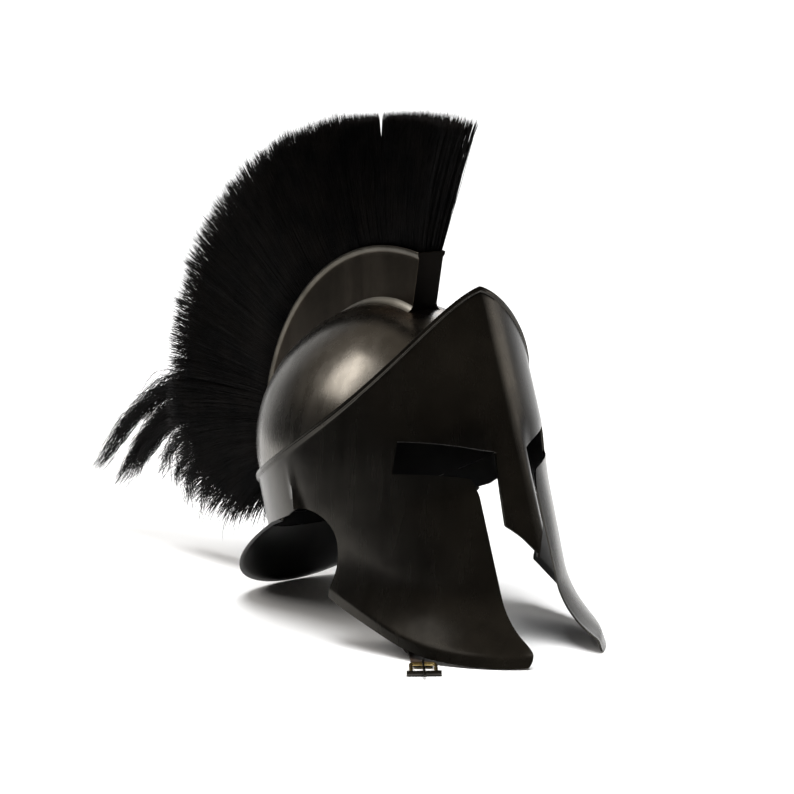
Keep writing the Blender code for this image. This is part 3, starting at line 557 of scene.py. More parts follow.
guard_bm = bmesh.new()
bmesh.ops.create_grid(guard_bm, x_segments=96, y_segments=20, size=1.0)
for vert in guard_bm.verts:
    side = 1.0 if vert.co.x >= 0.0 else -1.0
    share = 1.0 - abs(vert.co.x)
    down = 0.5 * (1.0 - vert.co.y)
    angle = GUARD_START + share * (math.pi - GUARD_START)
    x, y = plan_point(angle, HALF_WIDTH - CHEEK_NARROWING * 0.02)
    out = max(GUARD_REACH * (1.0 - (1.0 - share) ** 3), GUARD_WALL)
    drop = max(GUARD_DROP * math.sin(0.5 * math.pi * share) ** 1.2, GUARD_WALL)
    spread = GUARD_SPREAD * math.sin(math.pi * share)
    sag = GUARD_SAG * math.sin(math.pi * down) * share
    lip = GUARD_LIP * smooth((down - 0.9) / 0.1)
    tuck = GUARD_TUCK * smooth(1.0 - down / 0.06)
    vert.co = (side * (x + spread * down - tuck * x / HALF_WIDTH),
               y * (1.0 - tuck / REAR_LENGTH) + out * down - sag,
               BAND_BOTTOM - SEAM_GAP + tuck - drop * down - sag + lip)
bmesh.ops.remove_doubles(guard_bm, verts=guard_bm.verts, dist=MERGE)
face_outwards(guard_bm, lambda face: face.normal.z * face.calc_area())
guard_plate = stand_piece("guard_plate", guard_bm, 2)
give_wall(guard_plate, GUARD_WALL, inside=1)
settle(guard_plate)
guard_plate.data.materials[0] = blackened_steel
guard_plate.data.materials[1] = inside_painted_shade
ease_edges(guard_plate, FILED_EDGE)
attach(guard_plate, "root")
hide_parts("neck_guard")


# Crest box: a channel of 1.2 mm steel on edge along the crown, closed at both ends and welded to
# the bowl. Its upper edge is turned out a little and rubbed bright, and the hair is set in it.
CREST_CENTRE = Vector((0.0, -0.0046, 0.110))
CREST_RADIUS = 0.168
CREST_HALF = 0.012
CREST_FLANGE = 0.0015
CREST_WALL = 0.0012
CREST_LIFT = 0.0002
CREST_FRONT = math.radians(121.0)
CREST_REAR = math.radians(8.0)
# From foot to top edge: share of the wall's height, and share of the flange
CREST_PROFILE = ((0.0, 0.0), (0.2, 0.0), (0.4, 0.0), (0.6, 0.0), (0.8, 0.0), (0.87, 0.0), (0.90, 0.1),
                 (0.925, 0.6), (0.95, 1.0), (1.0, 1.0))
CREST_EDGE_ROW = 6


def skull_radius(angle, x):
    """How far the bowl's outer face is from the fan's centre, found by halving."""
    low, high = 0.05, CREST_RADIUS + 0.05
    for _ in range(40):
        middle = 0.5 * (low + high)
        y = CREST_CENTRE.y + middle * math.cos(angle)
        z = CREST_CENTRE.z + middle * math.sin(angle) - DOME_BASE
        length = SKULL_FRONT if y < 0.0 else SKULL_REAR
        size = (x / SKULL_HALF_WIDTH) ** 2 + (y / length) ** 2 + (max(z, 0.0) / DOME_HEIGHT) ** 2
        low, high = (middle, high) if size < 1.0 else (low, middle)
    return high


def spoke_point(angle, radius, x):
    return Vector((x, CREST_CENTRE.y + radius * math.cos(angle), CREST_CENTRE.z + radius * math.sin(angle)))


wall_steps = 100
plate_steps = 6
stations = [(CREST_FRONT + (CREST_REAR - CREST_FRONT) * k / wall_steps, 1.0) for k in range(wall_steps)]
stations += [(CREST_REAR, 1.0 - 2.0 * k / plate_steps) for k in range(plate_steps)]
stations += [(CREST_REAR + (CREST_FRONT - CREST_REAR) * k / wall_steps, -1.0) for k in range(wall_steps)]
stations += [(CREST_FRONT, -1.0 + 2.0 * k / plate_steps) for k in range(plate_steps + 1)]
crest_bm = bmesh.new()
bmesh.ops.create_grid(crest_bm, x_segments=len(stations) - 1, y_segments=len(CREST_PROFILE) - 1, size=1.0)
# The front end plate takes the third material, near-black steel that is painted shade on that end; the
# turned-out top edge takes the second.
for face in crest_bm.faces:
    centre = face.calc_center_median()
    if 0.5 * (centre.x + 1.0) * (len(stations) - 1) > 2 * wall_steps + plate_steps:
        face.material_index = 2
    elif 0.5 * (centre.y + 1.0) * (len(CREST_PROFILE) - 1) > CREST_EDGE_ROW:
        face.material_index = 1
for vert in crest_bm.verts:
    angle, side = stations[round(0.5 * (vert.co.x + 1.0) * (len(stations) - 1))]
    rise, proud = CREST_PROFILE[round(0.5 * (vert.co.y + 1.0) * (len(CREST_PROFILE) - 1))]
    foot = skull_radius(angle, CREST_HALF * side) + CREST_LIFT
    half = CREST_HALF + proud * CREST_FLANGE
    vert.co = spoke_point(angle, foot + rise * (CREST_RADIUS - foot), side * half)
bmesh.ops.remove_doubles(crest_bm, verts=crest_bm.verts, dist=MERGE)
face_outwards(crest_bm, lambda face: face.normal.x * face.calc_center_median().x)
crest_channel = stand_piece("crest_channel", crest_bm, 3)
give_wall(crest_channel, CREST_WALL, even=True)
settle(crest_channel)
# The third finish is near-black painted shade on the channel's front end plate.
crest_finishes = (
    steel_material("crest_steel", (0.040, 0.033, 0.025), (0.070, 0.058, 0.045), 0.38, 0.05, 0.05),
    steel_material("crest_edge", (0.055, 0.050, 0.041), (0.115, 0.105, 0.088), 0.36, 0.05, 0.04),
    steel_material("crest_front_painted_shade", (0.006, 0.005, 0.004), (0.013, 0.010, 0.008), 0.45, 0.05, 0.04),
)
for number, finish in enumerate(crest_finishes):
    crest_channel.data.materials[number] = finish
ease_edges(crest_channel, FILED_EDGE)
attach(crest_channel, "root")
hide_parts("crest_box")


# Weld: the bead that joins the channel's foot to the bowl, on both sides. It is ground to a smooth
# hollow, widest at the front. Its light colour is partly the bright ground steel and partly a painted
# highlight: the crescent of reflected light along the channel's foot.
WELD_ANGLES = (8.0, 65.0, 85.0, 100.0, 112.0, 121.0)
WELD_SIZES = (0.0008, 0.0012, 0.0024, 0.0040, 0.0047, 0.0042)
WELD_DEPTH = 0.0004
HEAT_ANGLE = math.radians(112.0)
# Light steel, partly ground metal and partly a painted highlight along the channel's foot.
ground_weld_painted_highlight = steel_material("ground_weld_painted_highlight", (0.20, 0.19, 0.17), (0.34, 0.33, 0.30), 0.36, 0.05, 0.08)
for name, side in (("weld_near", -1.0), ("weld_far", 1.0)):
    weld_bm = bmesh.new()
    bmesh.ops.create_grid(weld_bm, x_segments=90, y_segments=6, size=1.0)
    for vert in weld_bm.verts:
        angle = CREST_REAR + (CREST_FRONT - CREST_REAR) * 0.5 * (vert.co.x + 1.0)
        t = 0.5 * (vert.co.y + 1.0)
        size = float(np.interp(math.degrees(angle), WELD_ANGLES, WELD_SIZES))
        foot = skull_radius(angle, CREST_HALF)
        wide = CREST_HALF + size
        on_wall = spoke_point(angle, foot + size, side * (CREST_HALF + CREST_LIFT))
        in_corner = spoke_point(angle, foot + 0.25 * size, side * (CREST_HALF + 0.25 * size))
        on_bowl = spoke_point(angle, skull_radius(angle, wide) + 0.0001, side * wide)
        vert.co = on_wall.lerp(in_corner, t).lerp(in_corner.lerp(on_bowl, t), t)
    face_outwards(weld_bm, lambda face: face.normal.x * side)
    weld = stand_piece(name, weld_bm)
    give_wall(weld, WELD_DEPTH)
    settle(weld)
    weld.data.materials.append(ground_weld_painted_highlight)
    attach(weld, "root")
    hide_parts("crest_box")


# Heat tint: the torch has left the bowl dark and brown round the front end of the weld. It is a
# colour in the bowl's own surface, strongest at the weld and gone about 5 cm from it.
heat_nodes = skull_steel.node_tree.nodes
heat_links = skull_steel.node_tree.links
heat_spot = worn_to_room @ spoke_point(HEAT_ANGLE, skull_radius(HEAT_ANGLE, 0.0), 0.0)
heat_reach = heat_nodes.new("ShaderNodeVectorMath")
heat_reach.operation = "DISTANCE"
heat_reach.inputs[1].default_value = heat_spot
heat_cloud = add_noise(heat_nodes, heat_links, 70.0, 5.0)
heat_edge = heat_nodes.new("ShaderNodeMath")
heat_edge.operation = "MULTIPLY_ADD"
heat_edge.inputs[1].default_value = 0.030
heat_fade = add_range(heat_nodes, heat_links, heat_edge.outputs["Value"], 0.030, 0.062, 0.85, 0.0)
heat_fade.interpolation_type = "SMOOTHSTEP"
heat_colours = add_ramp(heat_nodes, 0.38, (0.020, 0.021, 0.026), 0.66, (0.15, 0.075, 0.032))
heat_mix = heat_nodes.new("ShaderNodeMix")
heat_mix.data_type = "RGBA"
bare_colour = heat_nodes["Principled BSDF"].inputs["Base Color"].links[0].from_socket
heat_links.new(heat_nodes.new("ShaderNodeTexCoord").outputs["Object"], heat_reach.inputs[0])
heat_links.new(heat_cloud, heat_edge.inputs[0])
heat_links.new(heat_reach.outputs["Value"], heat_edge.inputs[2])
heat_links.new(heat_cloud, heat_colours.inputs["Fac"])
heat_links.new(heat_fade.outputs["Result"], heat_mix.inputs["Factor"])
heat_links.new(bare_colour, heat_mix.inputs["A"])
heat_links.new(heat_colours.outputs["Color"], heat_mix.inputs["B"])
heat_links.new(heat_mix.outputs["Result"], heat_nodes["Principled BSDF"].inputs["Base Color"])


# Plume: black-dyed horse hair, set upright in the channel and cut to a rounded fan. It stands in
# small tufts that part at their tips, and behind it a longer tail falls away in wavy locks.
# A dark inner body keeps daylight from showing through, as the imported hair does.
HAIR_LENGTH = 0.1005
HAIR_REAR_EXTRA = 0.044
HAIR_BASE_HALF = 0.0095
HAIR_TIP_HALF = 0.0185
HAIR_LEAN = math.radians(3.5)
HAIR_DROOP = math.radians(11.0)
HAIR_SIDES = 3
FAN_SHARE = (0.00, 0.15, 0.28, 0.45, 0.62, 0.76, 0.82, 0.85, 0.88, 0.92, 0.96, 1.00)
FAN_REAR = (0.10, 0.00, 0.18, 0.55, 0.90, 1.00, 0.98, 0.92, 0.85, 0.62, 0.10, -1.00)
HAIR_END_ROOM = 0.0136
hair_first = CREST_FRONT - HAIR_END_ROOM
hair_last = CREST_REAR + HAIR_END_ROOM
PARTING_SHARE = 0.168
PARTING_SKEW = 0.046
PARTING_RADIUS = 0.236
PARTING_DEPTH = 0.033
PARTING_TURN = 0.021
PARTING_REACH = 0.020
TUFTS = 84


def hair_material():
    """Dyed hair: nearly black, a little brown where light catches it."""
    material, nodes, links = start_material("black_horse_hair", Roughness=0.52, Specular_IOR_Level=0.08)
    tufts = add_noise(nodes, links, 55.0, 3.0)
    tint(nodes, links, tufts, 0.35, (0.0006, 0.0006, 0.0008), 0.7, (0.0040, 0.0032, 0.0028))
    return material


def hair_piece(name, paths, thickness, material):
    """Every hair of a piece as one mesh: thin three-sided stems that end in a point."""
    count, knots, _ = paths.shape
    ahead = np.gradient(paths, axis=1)
    ahead /= np.linalg.norm(ahead, axis=2, keepdims=True)
    first_side = np.cross(ahead, np.array((1.0, 0.0, 0.0)))
    first_side /= np.linalg.norm(first_side, axis=2, keepdims=True)
    second_side = np.cross(ahead, first_side)
    turns = 2.0 * math.pi * np.arange(HAIR_SIDES) / HAIR_SIDES
    rings = (paths[:, :-1, None, :]
             + thickness[:, :, None, None] * (np.cos(turns)[:, None] * first_side[:, :-1, None, :]
                                              + np.sin(turns)[:, None] * second_side[:, :-1, None, :]))
    stem = (knots - 1) * HAIR_SIDES
    points = np.concatenate((rings.reshape(count, stem, 3), paths[:, -1:, :]), axis=1).reshape(-1, 3)
    pattern = []
    for ring in range(knots - 2):
        for k in range(HAIR_SIDES):
            n = (k + 1) % HAIR_SIDES
            a = ring * HAIR_SIDES
            pattern.append((a + k, a + n, a + HAIR_SIDES + n))
            pattern.append((a + k, a + HAIR_SIDES + n, a + HAIR_SIDES + k))
    for k in range(HAIR_SIDES):
        pattern.append((stem - HAIR_SIDES + k, stem - HAIR_SIDES + (k + 1) % HAIR_SIDES, stem))
    pattern.append((2, 1, 0))
    faces = (np.array(pattern)[None, :, :] + ((stem + 1) * np.arange(count))[:, None, None]).reshape(-1, 3)
    mesh = bpy.data.meshes.new(name)
    mesh.from_pydata(points.tolist(), [], faces.tolist())
    mesh.transform(worn_to_room)
    mesh.shade_smooth()
    mesh.materials.append(material)
    piece = place_object(name, mesh)
    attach(piece, "root")
    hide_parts("plume")


def fan_length(share):
    return HAIR_LENGTH + HAIR_REAR_EXTRA * np.interp(share, FAN_SHARE, FAN_REAR)


def fan_place(share, across, radius):
    """A place in the fan: along it, across it from -1 to 1, and out from its centre."""
    root_angle = hair_first + (hair_last - hair_first) * share
    tip_angle = root_angle + HAIR_LEAN * (1.0 - share) ** 3 - HAIR_DROOP * np.clip(share, 0.0, 1.0) ** 4
    out = np.clip((radius - CREST_RADIUS) / fan_length(share), 0.0, 1.3)
    angle = root_angle + (tip_angle - root_angle) * out
    parted = np.clip((radius - PARTING_RADIUS) / PARTING_DEPTH, 0.0, 1.0)
    beside = share - PARTING_SHARE - PARTING_SKEW * across
    angle -= np.sign(beside) * PARTING_TURN * np.exp(-np.abs(beside) / PARTING_REACH) * parted
    width = HAIR_BASE_HALF + (HAIR_TIP_HALF - HAIR_BASE_HALF) * np.sqrt(np.clip(out, 0.0, 1.0))
    return np.stack((across * width, CREST_CENTRE.y + radius * np.cos(angle),
                     CREST_CENTRE.z + radius * np.sin(angle)), axis=-1)


def fan_hairs(count, seed, knots, shortest, longest, clump):
    """Hairs from the channel to the rounded edge, drawn together into tufts towards their tips."""
    rng = np.random.default_rng(seed)
    share = rng.uniform(0.0, 1.0, count)
    across = np.sin(rng.uniform(-0.5 * math.pi, 0.5 * math.pi, count))
    tuft_share = (np.arange(TUFTS) + 0.5) / TUFTS + rng.normal(0.0, 0.0016, TUFTS)
    nearest = np.clip(np.floor(share * TUFTS + rng.normal(0.0, 0.35, count)).astype(int), 0, TUFTS - 1)
    tuft_across = np.round(across * 2.0 + rng.normal(0.0, 0.3, count)) / 2.0 * 0.9
    out = np.append(np.linspace(0.0, 0.94, knots - 1) ** 0.9, 1.0)[None, :]
    pull = clump * (0.35 + 0.65 * share)[:, None] * rng.uniform(0.5, 1.0, count)[:, None] * out ** 4
    place_share = share[:, None] + (tuft_share[nearest] - share)[:, None] * pull
    place_across = across[:, None] + (tuft_across - across)[:, None] * pull * 0.8
    tuft_length = 1.0 + 0.9 * rng.normal(0.0, 0.024, TUFTS)[nearest] * (0.3 + 0.9 * share)
    reach = fan_length(share) * tuft_length * rng.uniform(shortest, longest, count)
    root = CREST_RADIUS - 0.010
    radius = root + (CREST_RADIUS + reach - root)[:, None] * out
    wander = rng.normal(0.0, 0.0035, count)[:, None] * out ** 2
    ripple = 0.0016 * np.sin(out * rng.uniform(5.0, 9.0, count)[:, None]
                             + rng.uniform(0.0, 6.3, count)[:, None])
    place_share = place_share + (wander + ripple) * 0.9
    place_across = np.clip(place_across, -1.0, 1.0)
    parting = PARTING_SHARE + PARTING_SKEW * place_across
    before = (share < PARTING_SHARE + PARTING_SKEW * across)[:, None]
    place_share = np.where(before, np.minimum(place_share, parting - 0.0005),
                           np.maximum(place_share, parting + 0.0005))
    paths = fan_place(place_share, place_across, radius)
    paths[:, :, 0] += rng.normal(0.0, 0.0006, count)[:, None] * out
    return paths


def hair_thickness(count, knots, base, seed):
    """Half-thickness of every hair at every knot, thinner towards the tip."""
    rng = np.random.default_rng(seed)
    taper = np.linspace(1.0, 0.62, knots - 1)[None, :]
    return base * rng.uniform(0.75, 1.15, count)[:, None] * taper


black_hair = hair_material()
core_bm = bmesh.new()
bmesh.ops.create_cube(core_bm, size=2.0)
bmesh.ops.subdivide_edges(core_bm, edges=core_bm.edges[:], cuts=55, use_grid_fill=True)
for vert in core_bm.verts:
    a, b, c = vert.co
    share = 0.5 * (a + 1.0)
    rounded = math.sqrt(max(1.0 - 0.35 * c * c * (c > 0.0), 0.0))
    hollow = 0.32 * math.exp(-((share - PARTING_SHARE - PARTING_SKEW * b) / 0.028) ** 2)
    reach = CREST_RADIUS + float(fan_length(share)) * (0.89 - 0.05 * abs(b)) * (1.0 - hollow)
    root = CREST_RADIUS - 0.012
    radius = root + (reach - root) * 0.5 * (c + 1.0)
    vert.co = Vector(fan_place(np.float64(0.012 + 0.976 * share), np.float64(0.80 * b * rounded),
                               np.float64(radius)))
bmesh.ops.recalc_face_normals(core_bm, faces=core_bm.faces)
plume_body = stand_piece("plume_body", core_bm)
plume_body.data.transform(worn_to_room)
plume_body.data.shade_smooth()
plume_body.data.materials.append(black_hair)
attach(plume_body, "root")
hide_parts("plume")

FAN_KNOTS = 7
FAN_COUNT = 5800
FAN_SEED = 40
HAIR_THICK = 0.00030
HAIR_REACHES = ((0.975, 1.010), (0.93, 1.0), (0.96, 1.015))
for number in range(3):
    hairs = fan_hairs(FAN_COUNT, FAN_SEED + number, FAN_KNOTS, *HAIR_REACHES[number], 0.9)
    stems = hair_thickness(FAN_COUNT, FAN_KNOTS, HAIR_THICK, number)
    hair_piece("plume_hair_%d" % (number + 1), hairs, stems, black_hair)

# Locks of the tail: where each leaves the fan and where its tip is, as reach and angle from the
# fan's centre, with its place across, its looseness and the hairs in it
TAIL_LOCKS = (
    ((0.300, 27.6), (0.470, 9.6), 0.1, 0.8, 120),
    ((0.300, 27.0), (0.456, 10.6), -0.5, 1.0, 90),
    ((0.298, 26.0), (0.426, 8.9), 0.3, 1.2, 150),
    ((0.296, 24.4), (0.427, 7.6), -0.3, 1.2, 150),
    ((0.298, 25.2), (0.405, 11.6), 0.6, 1.3, 130),
    ((0.294, 22.8), (0.406, 9.3), 0.1, 1.1, 150),
    ((0.294, 21.2), (0.388, 9.0), -0.6, 1.0, 110),
    ((0.302, 28.4), (0.430, 13.6), -0.2, 2.2, 46),
    ((0.302, 28.8), (0.398, 18.6), 0.4, 2.8, 40),
    ((0.296, 19.4), (0.360, 10.6), 0.4, 1.0, 70),
    ((0.298, 17.4), (0.346, 8.4), -0.4, 1.2, 50),
    ((0.300, 15.8), (0.329, 7.2), 0.0, 0.8, 110),
    ((0.300, 13.8), (0.320, 5.4), 0.5, 1.0, 50),
    ((0.296, 12.0), (0.306, 3.6), -0.3, 1.4, 60),
    ((0.288, 9.4), (0.300, 0.4), 0.2, 2.4, 26),
)
TAIL_KNOTS = 15
TAIL_SEED = 91
TAIL_HALF = 0.016


def tail_spot(across, reach, angle):
    return np.stack((across, CREST_CENTRE.y + reach * np.cos(angle),
                     CREST_CENTRE.z + reach * np.sin(angle)), axis=-1)


def tail_hairs(seed):
    """Locks that leave the fan's back edge and fall away, each gathered to its own ragged tip."""
    rng = np.random.default_rng(seed)
    bundles = []
    t = np.append(np.linspace(0.0, 0.96, TAIL_KNOTS - 1), 1.0)[None, :, None]
    for (leave_reach, leave_angle), (tip_reach, tip_angle), place, looseness, count in TAIL_LOCKS:
        across = TAIL_HALF * np.clip(place + rng.normal(0.0, 0.35, count), -1.0, 1.0)
        spread = np.radians(rng.normal(0.0, 0.75, count))
        full = rng.beta(5.0, 1.0, count)
        loose = np.radians(looseness * rng.normal(0.0, 0.42, count))
        leave = math.radians(leave_angle) + spread
        fall = math.radians(tip_angle) - leave
        end_angle = leave + fall * full + loose
        end_reach = leave_reach + (tip_reach - leave_reach) * full
        root = tail_spot(0.55 * across, np.full(count, CREST_RADIUS - 0.008), leave + math.radians(4.0))
        knee = tail_spot(across, np.full(count, leave_reach - 0.035), leave + math.radians(1.6))
        bend_reach = leave_reach + 0.22 * (end_reach - leave_reach) + 0.006
        bend = tail_spot(across, bend_reach, leave + 0.10 * fall * full)
        tip = tail_spot(0.6 * across + 0.004 * place, end_reach, end_angle)
        path = ((1 - t) ** 3 * root[:, None] + 3 * t * (1 - t) ** 2 * knee[:, None]
                + 3 * t * t * (1 - t) * bend[:, None] + t ** 3 * tip[:, None])
        free = np.clip((t[:, :, 0] - 0.40) / 0.35, 0.0, 1.0)
        phase = rng.uniform(0.0, 6.3) + rng.normal(0.0, 0.9, count)[:, None]
        wave = 0.0022 * np.sin(phase + 30.0 * t[:, :, 0]) * free
        path[:, :, 2] += wave
        path[:, :, 0] += 0.8 * np.roll(wave, 1, axis=1)
        bundles.append(path)
    return np.concatenate(bundles)


tail = tail_hairs(TAIL_SEED)
hair_piece("plume_tail", tail, hair_thickness(len(tail), TAIL_KNOTS, 0.00027, 5), black_hair)

STRAY_COUNT = 320
STRAY_SEED = 77
stray = fan_hairs(STRAY_COUNT, STRAY_SEED, FAN_KNOTS, 0.98, 1.055, 0.2)
hair_piece("plume_stray", stray, hair_thickness(STRAY_COUNT, FAN_KNOTS, 0.00016, 6), black_hair)


# Chin strap: two strips of 2 mm black-brown leather riveted inside the cheeks. The near one comes
# out under the cheek and lies on the floor with the buckle; the far one is a short pointed tongue.
STRAP_WIDTH = 0.016
STRAP_WALL = 0.0020
STRAP_OFF_WALL = 0.0022
STRAP_FLOOR_GAP = 0.0003
RIVET_HEIGHT = 0.066
RIVET_RADIUS = 0.0046
RIVET_ANGLE = math.radians(60.0)
STRAP_OUT = Vector((-0.60, -0.80, 0.0))
STRAP_PLACE = Vector((0.00385, -0.16644, 0.0))
NEAR_ROUTE = (
    (-0.0825, -0.0370, 0.0550), (-0.0765, -0.0490, 0.0280), (-0.0705, -0.0580, 0.0110),
    (-0.0685, -0.0630, 0.0040), (-0.0705, -0.0700, 0.0017), (-0.0775, -0.0805, 0.0013),
    (-0.0870, -0.0935, 0.0013),
)
FAR_ROUTE = ((0.0845, -0.0310, 0.0740), (0.0840, -0.0315, 0.0450))
BUCKLE_LEAN = math.radians(6.0)
BUCKLE_WIDTH = 0.025
BUCKLE_LENGTH = 0.022
BUCKLE_WIRE = 0.0028
buckle_along = STRAP_OUT * math.cos(BUCKLE_LEAN) - Vector((0.0, 0.0, math.sin(BUCKLE_LEAN)))
buckle_across = Vector((0.80, -0.60, 0.0))
buckle_up = buckle_along.cross(buckle_across).normalized()
if buckle_up.z < 0.0:
    buckle_up = -buckle_up
buckle_foot = STRAP_PLACE + Vector(NEAR_ROUTE[-1]) + STRAP_OUT * (0.5 * STRAP_WIDTH + BUCKLE_LENGTH)
buckle_foot.z = 0.5 * BUCKLE_WIRE + STRAP_FLOOR_GAP
buckle_head = buckle_foot - buckle_along * (BUCKLE_LENGTH - BUCKLE_WIRE)


def leather_material():
    """Strap leather: worn brown-black, with fine pores."""
    material, nodes, links = start_material("strap_leather", Roughness=0.58)
    pores = nodes.new("ShaderNodeTexVoronoi")
    pores.inputs["Scale"].default_value = 900.0
    links.new(nodes.new("ShaderNodeTexCoord").outputs["Object"], pores.inputs["Vector"])
    wear = add_noise(nodes, links, 130.0, 5.0)
    tint(nodes, links, wear, 0.0, (0.010, 0.007, 0.006), 1.0, (0.045, 0.027, 0.018))
    add_bump(nodes, links, pores.outputs["Distance"], 0.35, 0.0003)
    return material


strap_leather = leather_material()


def cheek_seat(side, height):
    """Inner face of a cheek at the rivet: its place, the way inward and the level way, in the room."""
    here = Vector(mask_point(RIVET_ANGLE, height, 0.0))
    behind = Vector(mask_point(RIVET_ANGLE + 0.02, height, 0.0))
    level = behind - Vector(mask_point(RIVET_ANGLE - 0.02, height, 0.0))
    above = Vector(mask_point(RIVET_ANGLE, height + 0.002, 0.0))
    upward = above - Vector(mask_point(RIVET_ANGLE, height - 0.002, 0.0))
    inward = level.cross(upward).normalized()
    if inward.dot(here) > 0.0:
        inward = -inward
    place = worn_to_room @ Matrix.Diagonal((side, 1.0, 1.0, 1.0))
    turn = place.to_3x3()
    return place @ (here + inward * MASK_WALL), turn @ inward, (turn @ level).normalized()


def smooth_route(points, steps):
    """A curve through all the points."""
    route = []
    last = len(points) - 1
    for k in range(last):
        p0, p1, p2, p3 = points[max(k - 1, 0)], points[k], points[k + 1], points[min(k + 2, last)]
        for step in range(steps):
            t = step / steps
            route.append(0.5 * (2.0 * p1 + (p2 - p0) * t + (2.0 * p0 - 5.0 * p1 + 4.0 * p2 - p3) * t * t
                                + (3.0 * p1 - p0 - 3.0 * p2 + p3) * t * t * t))
    return route + [points[last].copy()]


def finish_surface(piece, material):
    """Smooth shading with sharp corners, and the piece's one material."""
    piece.data.shade_smooth()
    piece.data.set_sharp_from_angle(angle=math.radians(40.0))
    piece.data.materials.append(material)


def build_strap(name, side, table, ending, node):
    """A strap from its rivet along a table of places; with no ending it narrows to a point."""
    steps = 10
    points = []
    for height in (RIVET_HEIGHT + 0.008, RIVET_HEIGHT, RIVET_HEIGHT - 0.008):
        seat, inward, level = cheek_seat(side, height)
        points.append(seat + inward * (STRAP_OFF_WALL + 0.5 * STRAP_WALL))
    seat, inward, level = cheek_seat(side, RIVET_HEIGHT)
    points += [STRAP_PLACE + Vector(row) for row in table] + ending
    route = smooth_route(points, steps)
    last = len(route) - 1
    end_side = level
    if ending:
        end_side = buckle_across if level.dot(buckle_across) > 0.0 else -buckle_across
    bm = bmesh.new()
    bmesh.ops.create_grid(bm, x_segments=last, y_segments=6, size=1.0)
    for vert in bm.verts:
        k = round(0.5 * (vert.co.x + 1.0) * last)
        along = (route[min(k + 1, last)] - route[max(k - 1, 0)]).normalized()
        across = level.lerp(end_side, smooth(2.0 * (k - 2 * steps) / (last - 2 * steps)))
        across = (across - along * across.dot(along)).normalized()
        narrow = 1.0
        if not ending:
            narrow = 1.0 - 0.75 * smooth((k - last + 9) / 9.0) ** 2
        rounded = math.sqrt(max(1.0 - (max(4.0 - k, 0.0) / 4.6) ** 2, 0.05))
        vert.co = route[k] + across * (0.5 * STRAP_WIDTH * vert.co.y * narrow * rounded)
        vert.co.z = max(vert.co.z, 0.5 * STRAP_WALL + STRAP_FLOOR_GAP)
    bmesh.ops.recalc_face_normals(bm, faces=bm.faces)
    strap = stand_piece(name, bm)
    finish_surface(strap, strap_leather)
    give_wall(strap, STRAP_WALL, offset=0.0)
    ease_edges(strap, 0.0005)
    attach(strap, "root")
    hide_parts(node)
    return seat, inward


near_seat, near_inward = build_strap("leather_near", -1, NEAR_ROUTE, [buckle_head - buckle_along * 0.0018],
                                     "chin_strap_near")
far_seat, far_inward = build_strap("leather_far", 1, FAR_ROUTE, [], "chin_strap_far")


# Rivets: steel rivets that hold the straps to the cheeks. Each has a short round stem through
# plate and leather, hammered over on the leather to a low dome.
RIVET_STEM = 0.0022
RIVET_DOMING = 0.36


def build_rivet(name, seat, inward, node):
    bm = bmesh.new()
    shank = STRAP_OFF_WALL + STRAP_WALL
    bmesh.ops.create_uvsphere(bm, u_segments=32, v_segments=16, radius=RIVET_RADIUS)
    bmesh.ops.scale(bm, vec=(1.0, 1.0, RIVET_DOMING), verts=bm.verts[:])
    bmesh.ops.translate(bm, vec=(0.0, 0.0, shank), verts=bm.verts[:])
    stem = bmesh.ops.create_cone(bm, cap_ends=True, segments=24, radius1=RIVET_STEM, radius2=RIVET_STEM,
                                 depth=shank)
    bmesh.ops.translate(bm, vec=(0.0, 0.0, 0.5 * shank), verts=stem["verts"])
    turn = inward.to_track_quat("Z", "Y").to_matrix().to_4x4()
    bmesh.ops.transform(bm, matrix=Matrix.Translation(seat) @ turn, verts=bm.verts[:])
    rivet = stand_piece(name, bm)
    finish_surface(rivet, blackened_steel)
    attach(rivet, "root")
    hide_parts(node)


build_rivet("rivet_near", near_seat, near_inward, "strap_rivet_near")
build_rivet("rivet_far", far_seat, far_inward, "strap_rivet_far")


# Buckle: a bent brass wire frame with a dark steel roller on its outer bar and a steel prong.
# The strap's end runs up to the inner bar.
def brass_material():
    """Dulled brass: brown tarnish with brighter spots."""
    material, nodes, links = start_material("buckle_brass", Metallic=1.0)
    tarnish = add_noise(nodes, links, 320.0, 4.0)
    tint(nodes, links, tarnish, 0.35, (0.20, 0.14, 0.05), 0.65, (0.52, 0.41, 0.18))
    gloss = add_range(nodes, links, tarnish, 0.0, 1.0, 0.45, 0.25)
    links.new(gloss.outputs["Result"], nodes["Principled BSDF"].inputs["Roughness"])
    return material


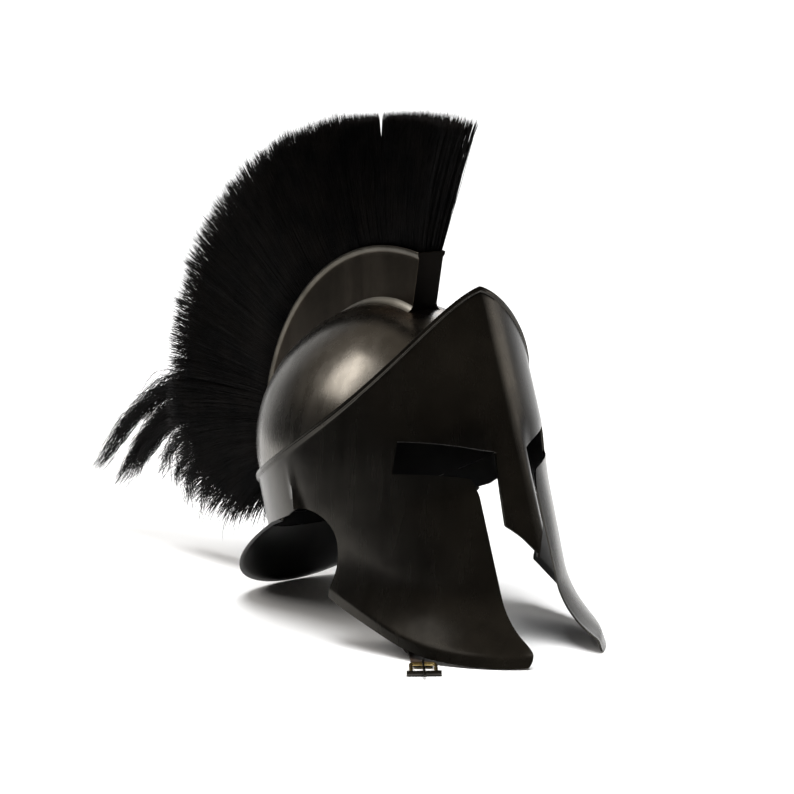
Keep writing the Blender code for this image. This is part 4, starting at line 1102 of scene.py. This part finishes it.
def bent_wire(name, points, radius, closed, material, node):
    """A round wire bent along a line of points."""
    curve = bpy.data.curves.new(name, "CURVE")
    curve.dimensions = "3D"
    curve.bevel_depth = radius
    curve.bevel_resolution = 5
    curve.use_fill_caps = True
    spline = curve.splines.new("POLY")
    spline.points.add(len(points) - 1)
    for knot, point in zip(spline.points, points):
        knot.co = (*point, 1.0)
    spline.use_cyclic_u = closed
    drawn_wire = place_object(name + "_line", curve)
    bpy.context.view_layer.update()
    mesh = bpy.data.meshes.new_from_object(drawn_wire.evaluated_get(bpy.context.evaluated_depsgraph_get()))
    bpy.data.objects.remove(drawn_wire, do_unlink=True)
    mesh.shade_smooth()
    mesh.materials.clear()
    mesh.materials.append(material)
    wire = place_object(name, mesh)
    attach(wire, "root")
    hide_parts(node)


buckle_half = buckle_across * (0.36 * BUCKLE_WIDTH)
buckle_corners = [buckle_head - buckle_half, buckle_head + buckle_half, buckle_foot + buckle_half,
                  buckle_foot - buckle_half]
frame_line = []
for k, corner in enumerate(buckle_corners):
    start = corner + (buckle_corners[k - 1] - corner).normalized() * BUCKLE_WIRE
    end = corner + (buckle_corners[(k + 1) % 4] - corner).normalized() * BUCKLE_WIRE
    for step in range(7):
        t = step / 6
        frame_line.append(start.lerp(corner, t).lerp(corner.lerp(end, t), t))
bent_wire("buckle_frame", frame_line, 0.5 * BUCKLE_WIRE, True, brass_material(),
          "strap_buckle")
roller_half = buckle_across * (0.5 * BUCKLE_WIDTH)
roller_foot = buckle_foot + Vector((0.0, 0.0, 0.0004))
roller_radius = 0.5 * BUCKLE_WIRE + 0.0006
bent_wire("buckle_roller", [roller_foot - roller_half, roller_foot + roller_half], roller_radius, False,
          blackened_steel, "strap_buckle")
PRONG_WIRE = 0.0018
prong_rise = buckle_up * (0.5 * BUCKLE_WIRE + 0.5 * PRONG_WIRE + 0.0003)
prong_start = buckle_head + prong_rise
prong_bend = buckle_foot + prong_rise + buckle_along * (0.5 * BUCKLE_WIRE)
prong_end = prong_start + (prong_bend - prong_start).normalized() * 0.030
prong_end.z = max(prong_end.z, 0.5 * PRONG_WIRE + STRAP_FLOOR_GAP)
bent_wire("buckle_tongue", [prong_start, prong_bend, prong_end], 0.5 * PRONG_WIRE, False, blackened_steel,
          "buckle_prong")
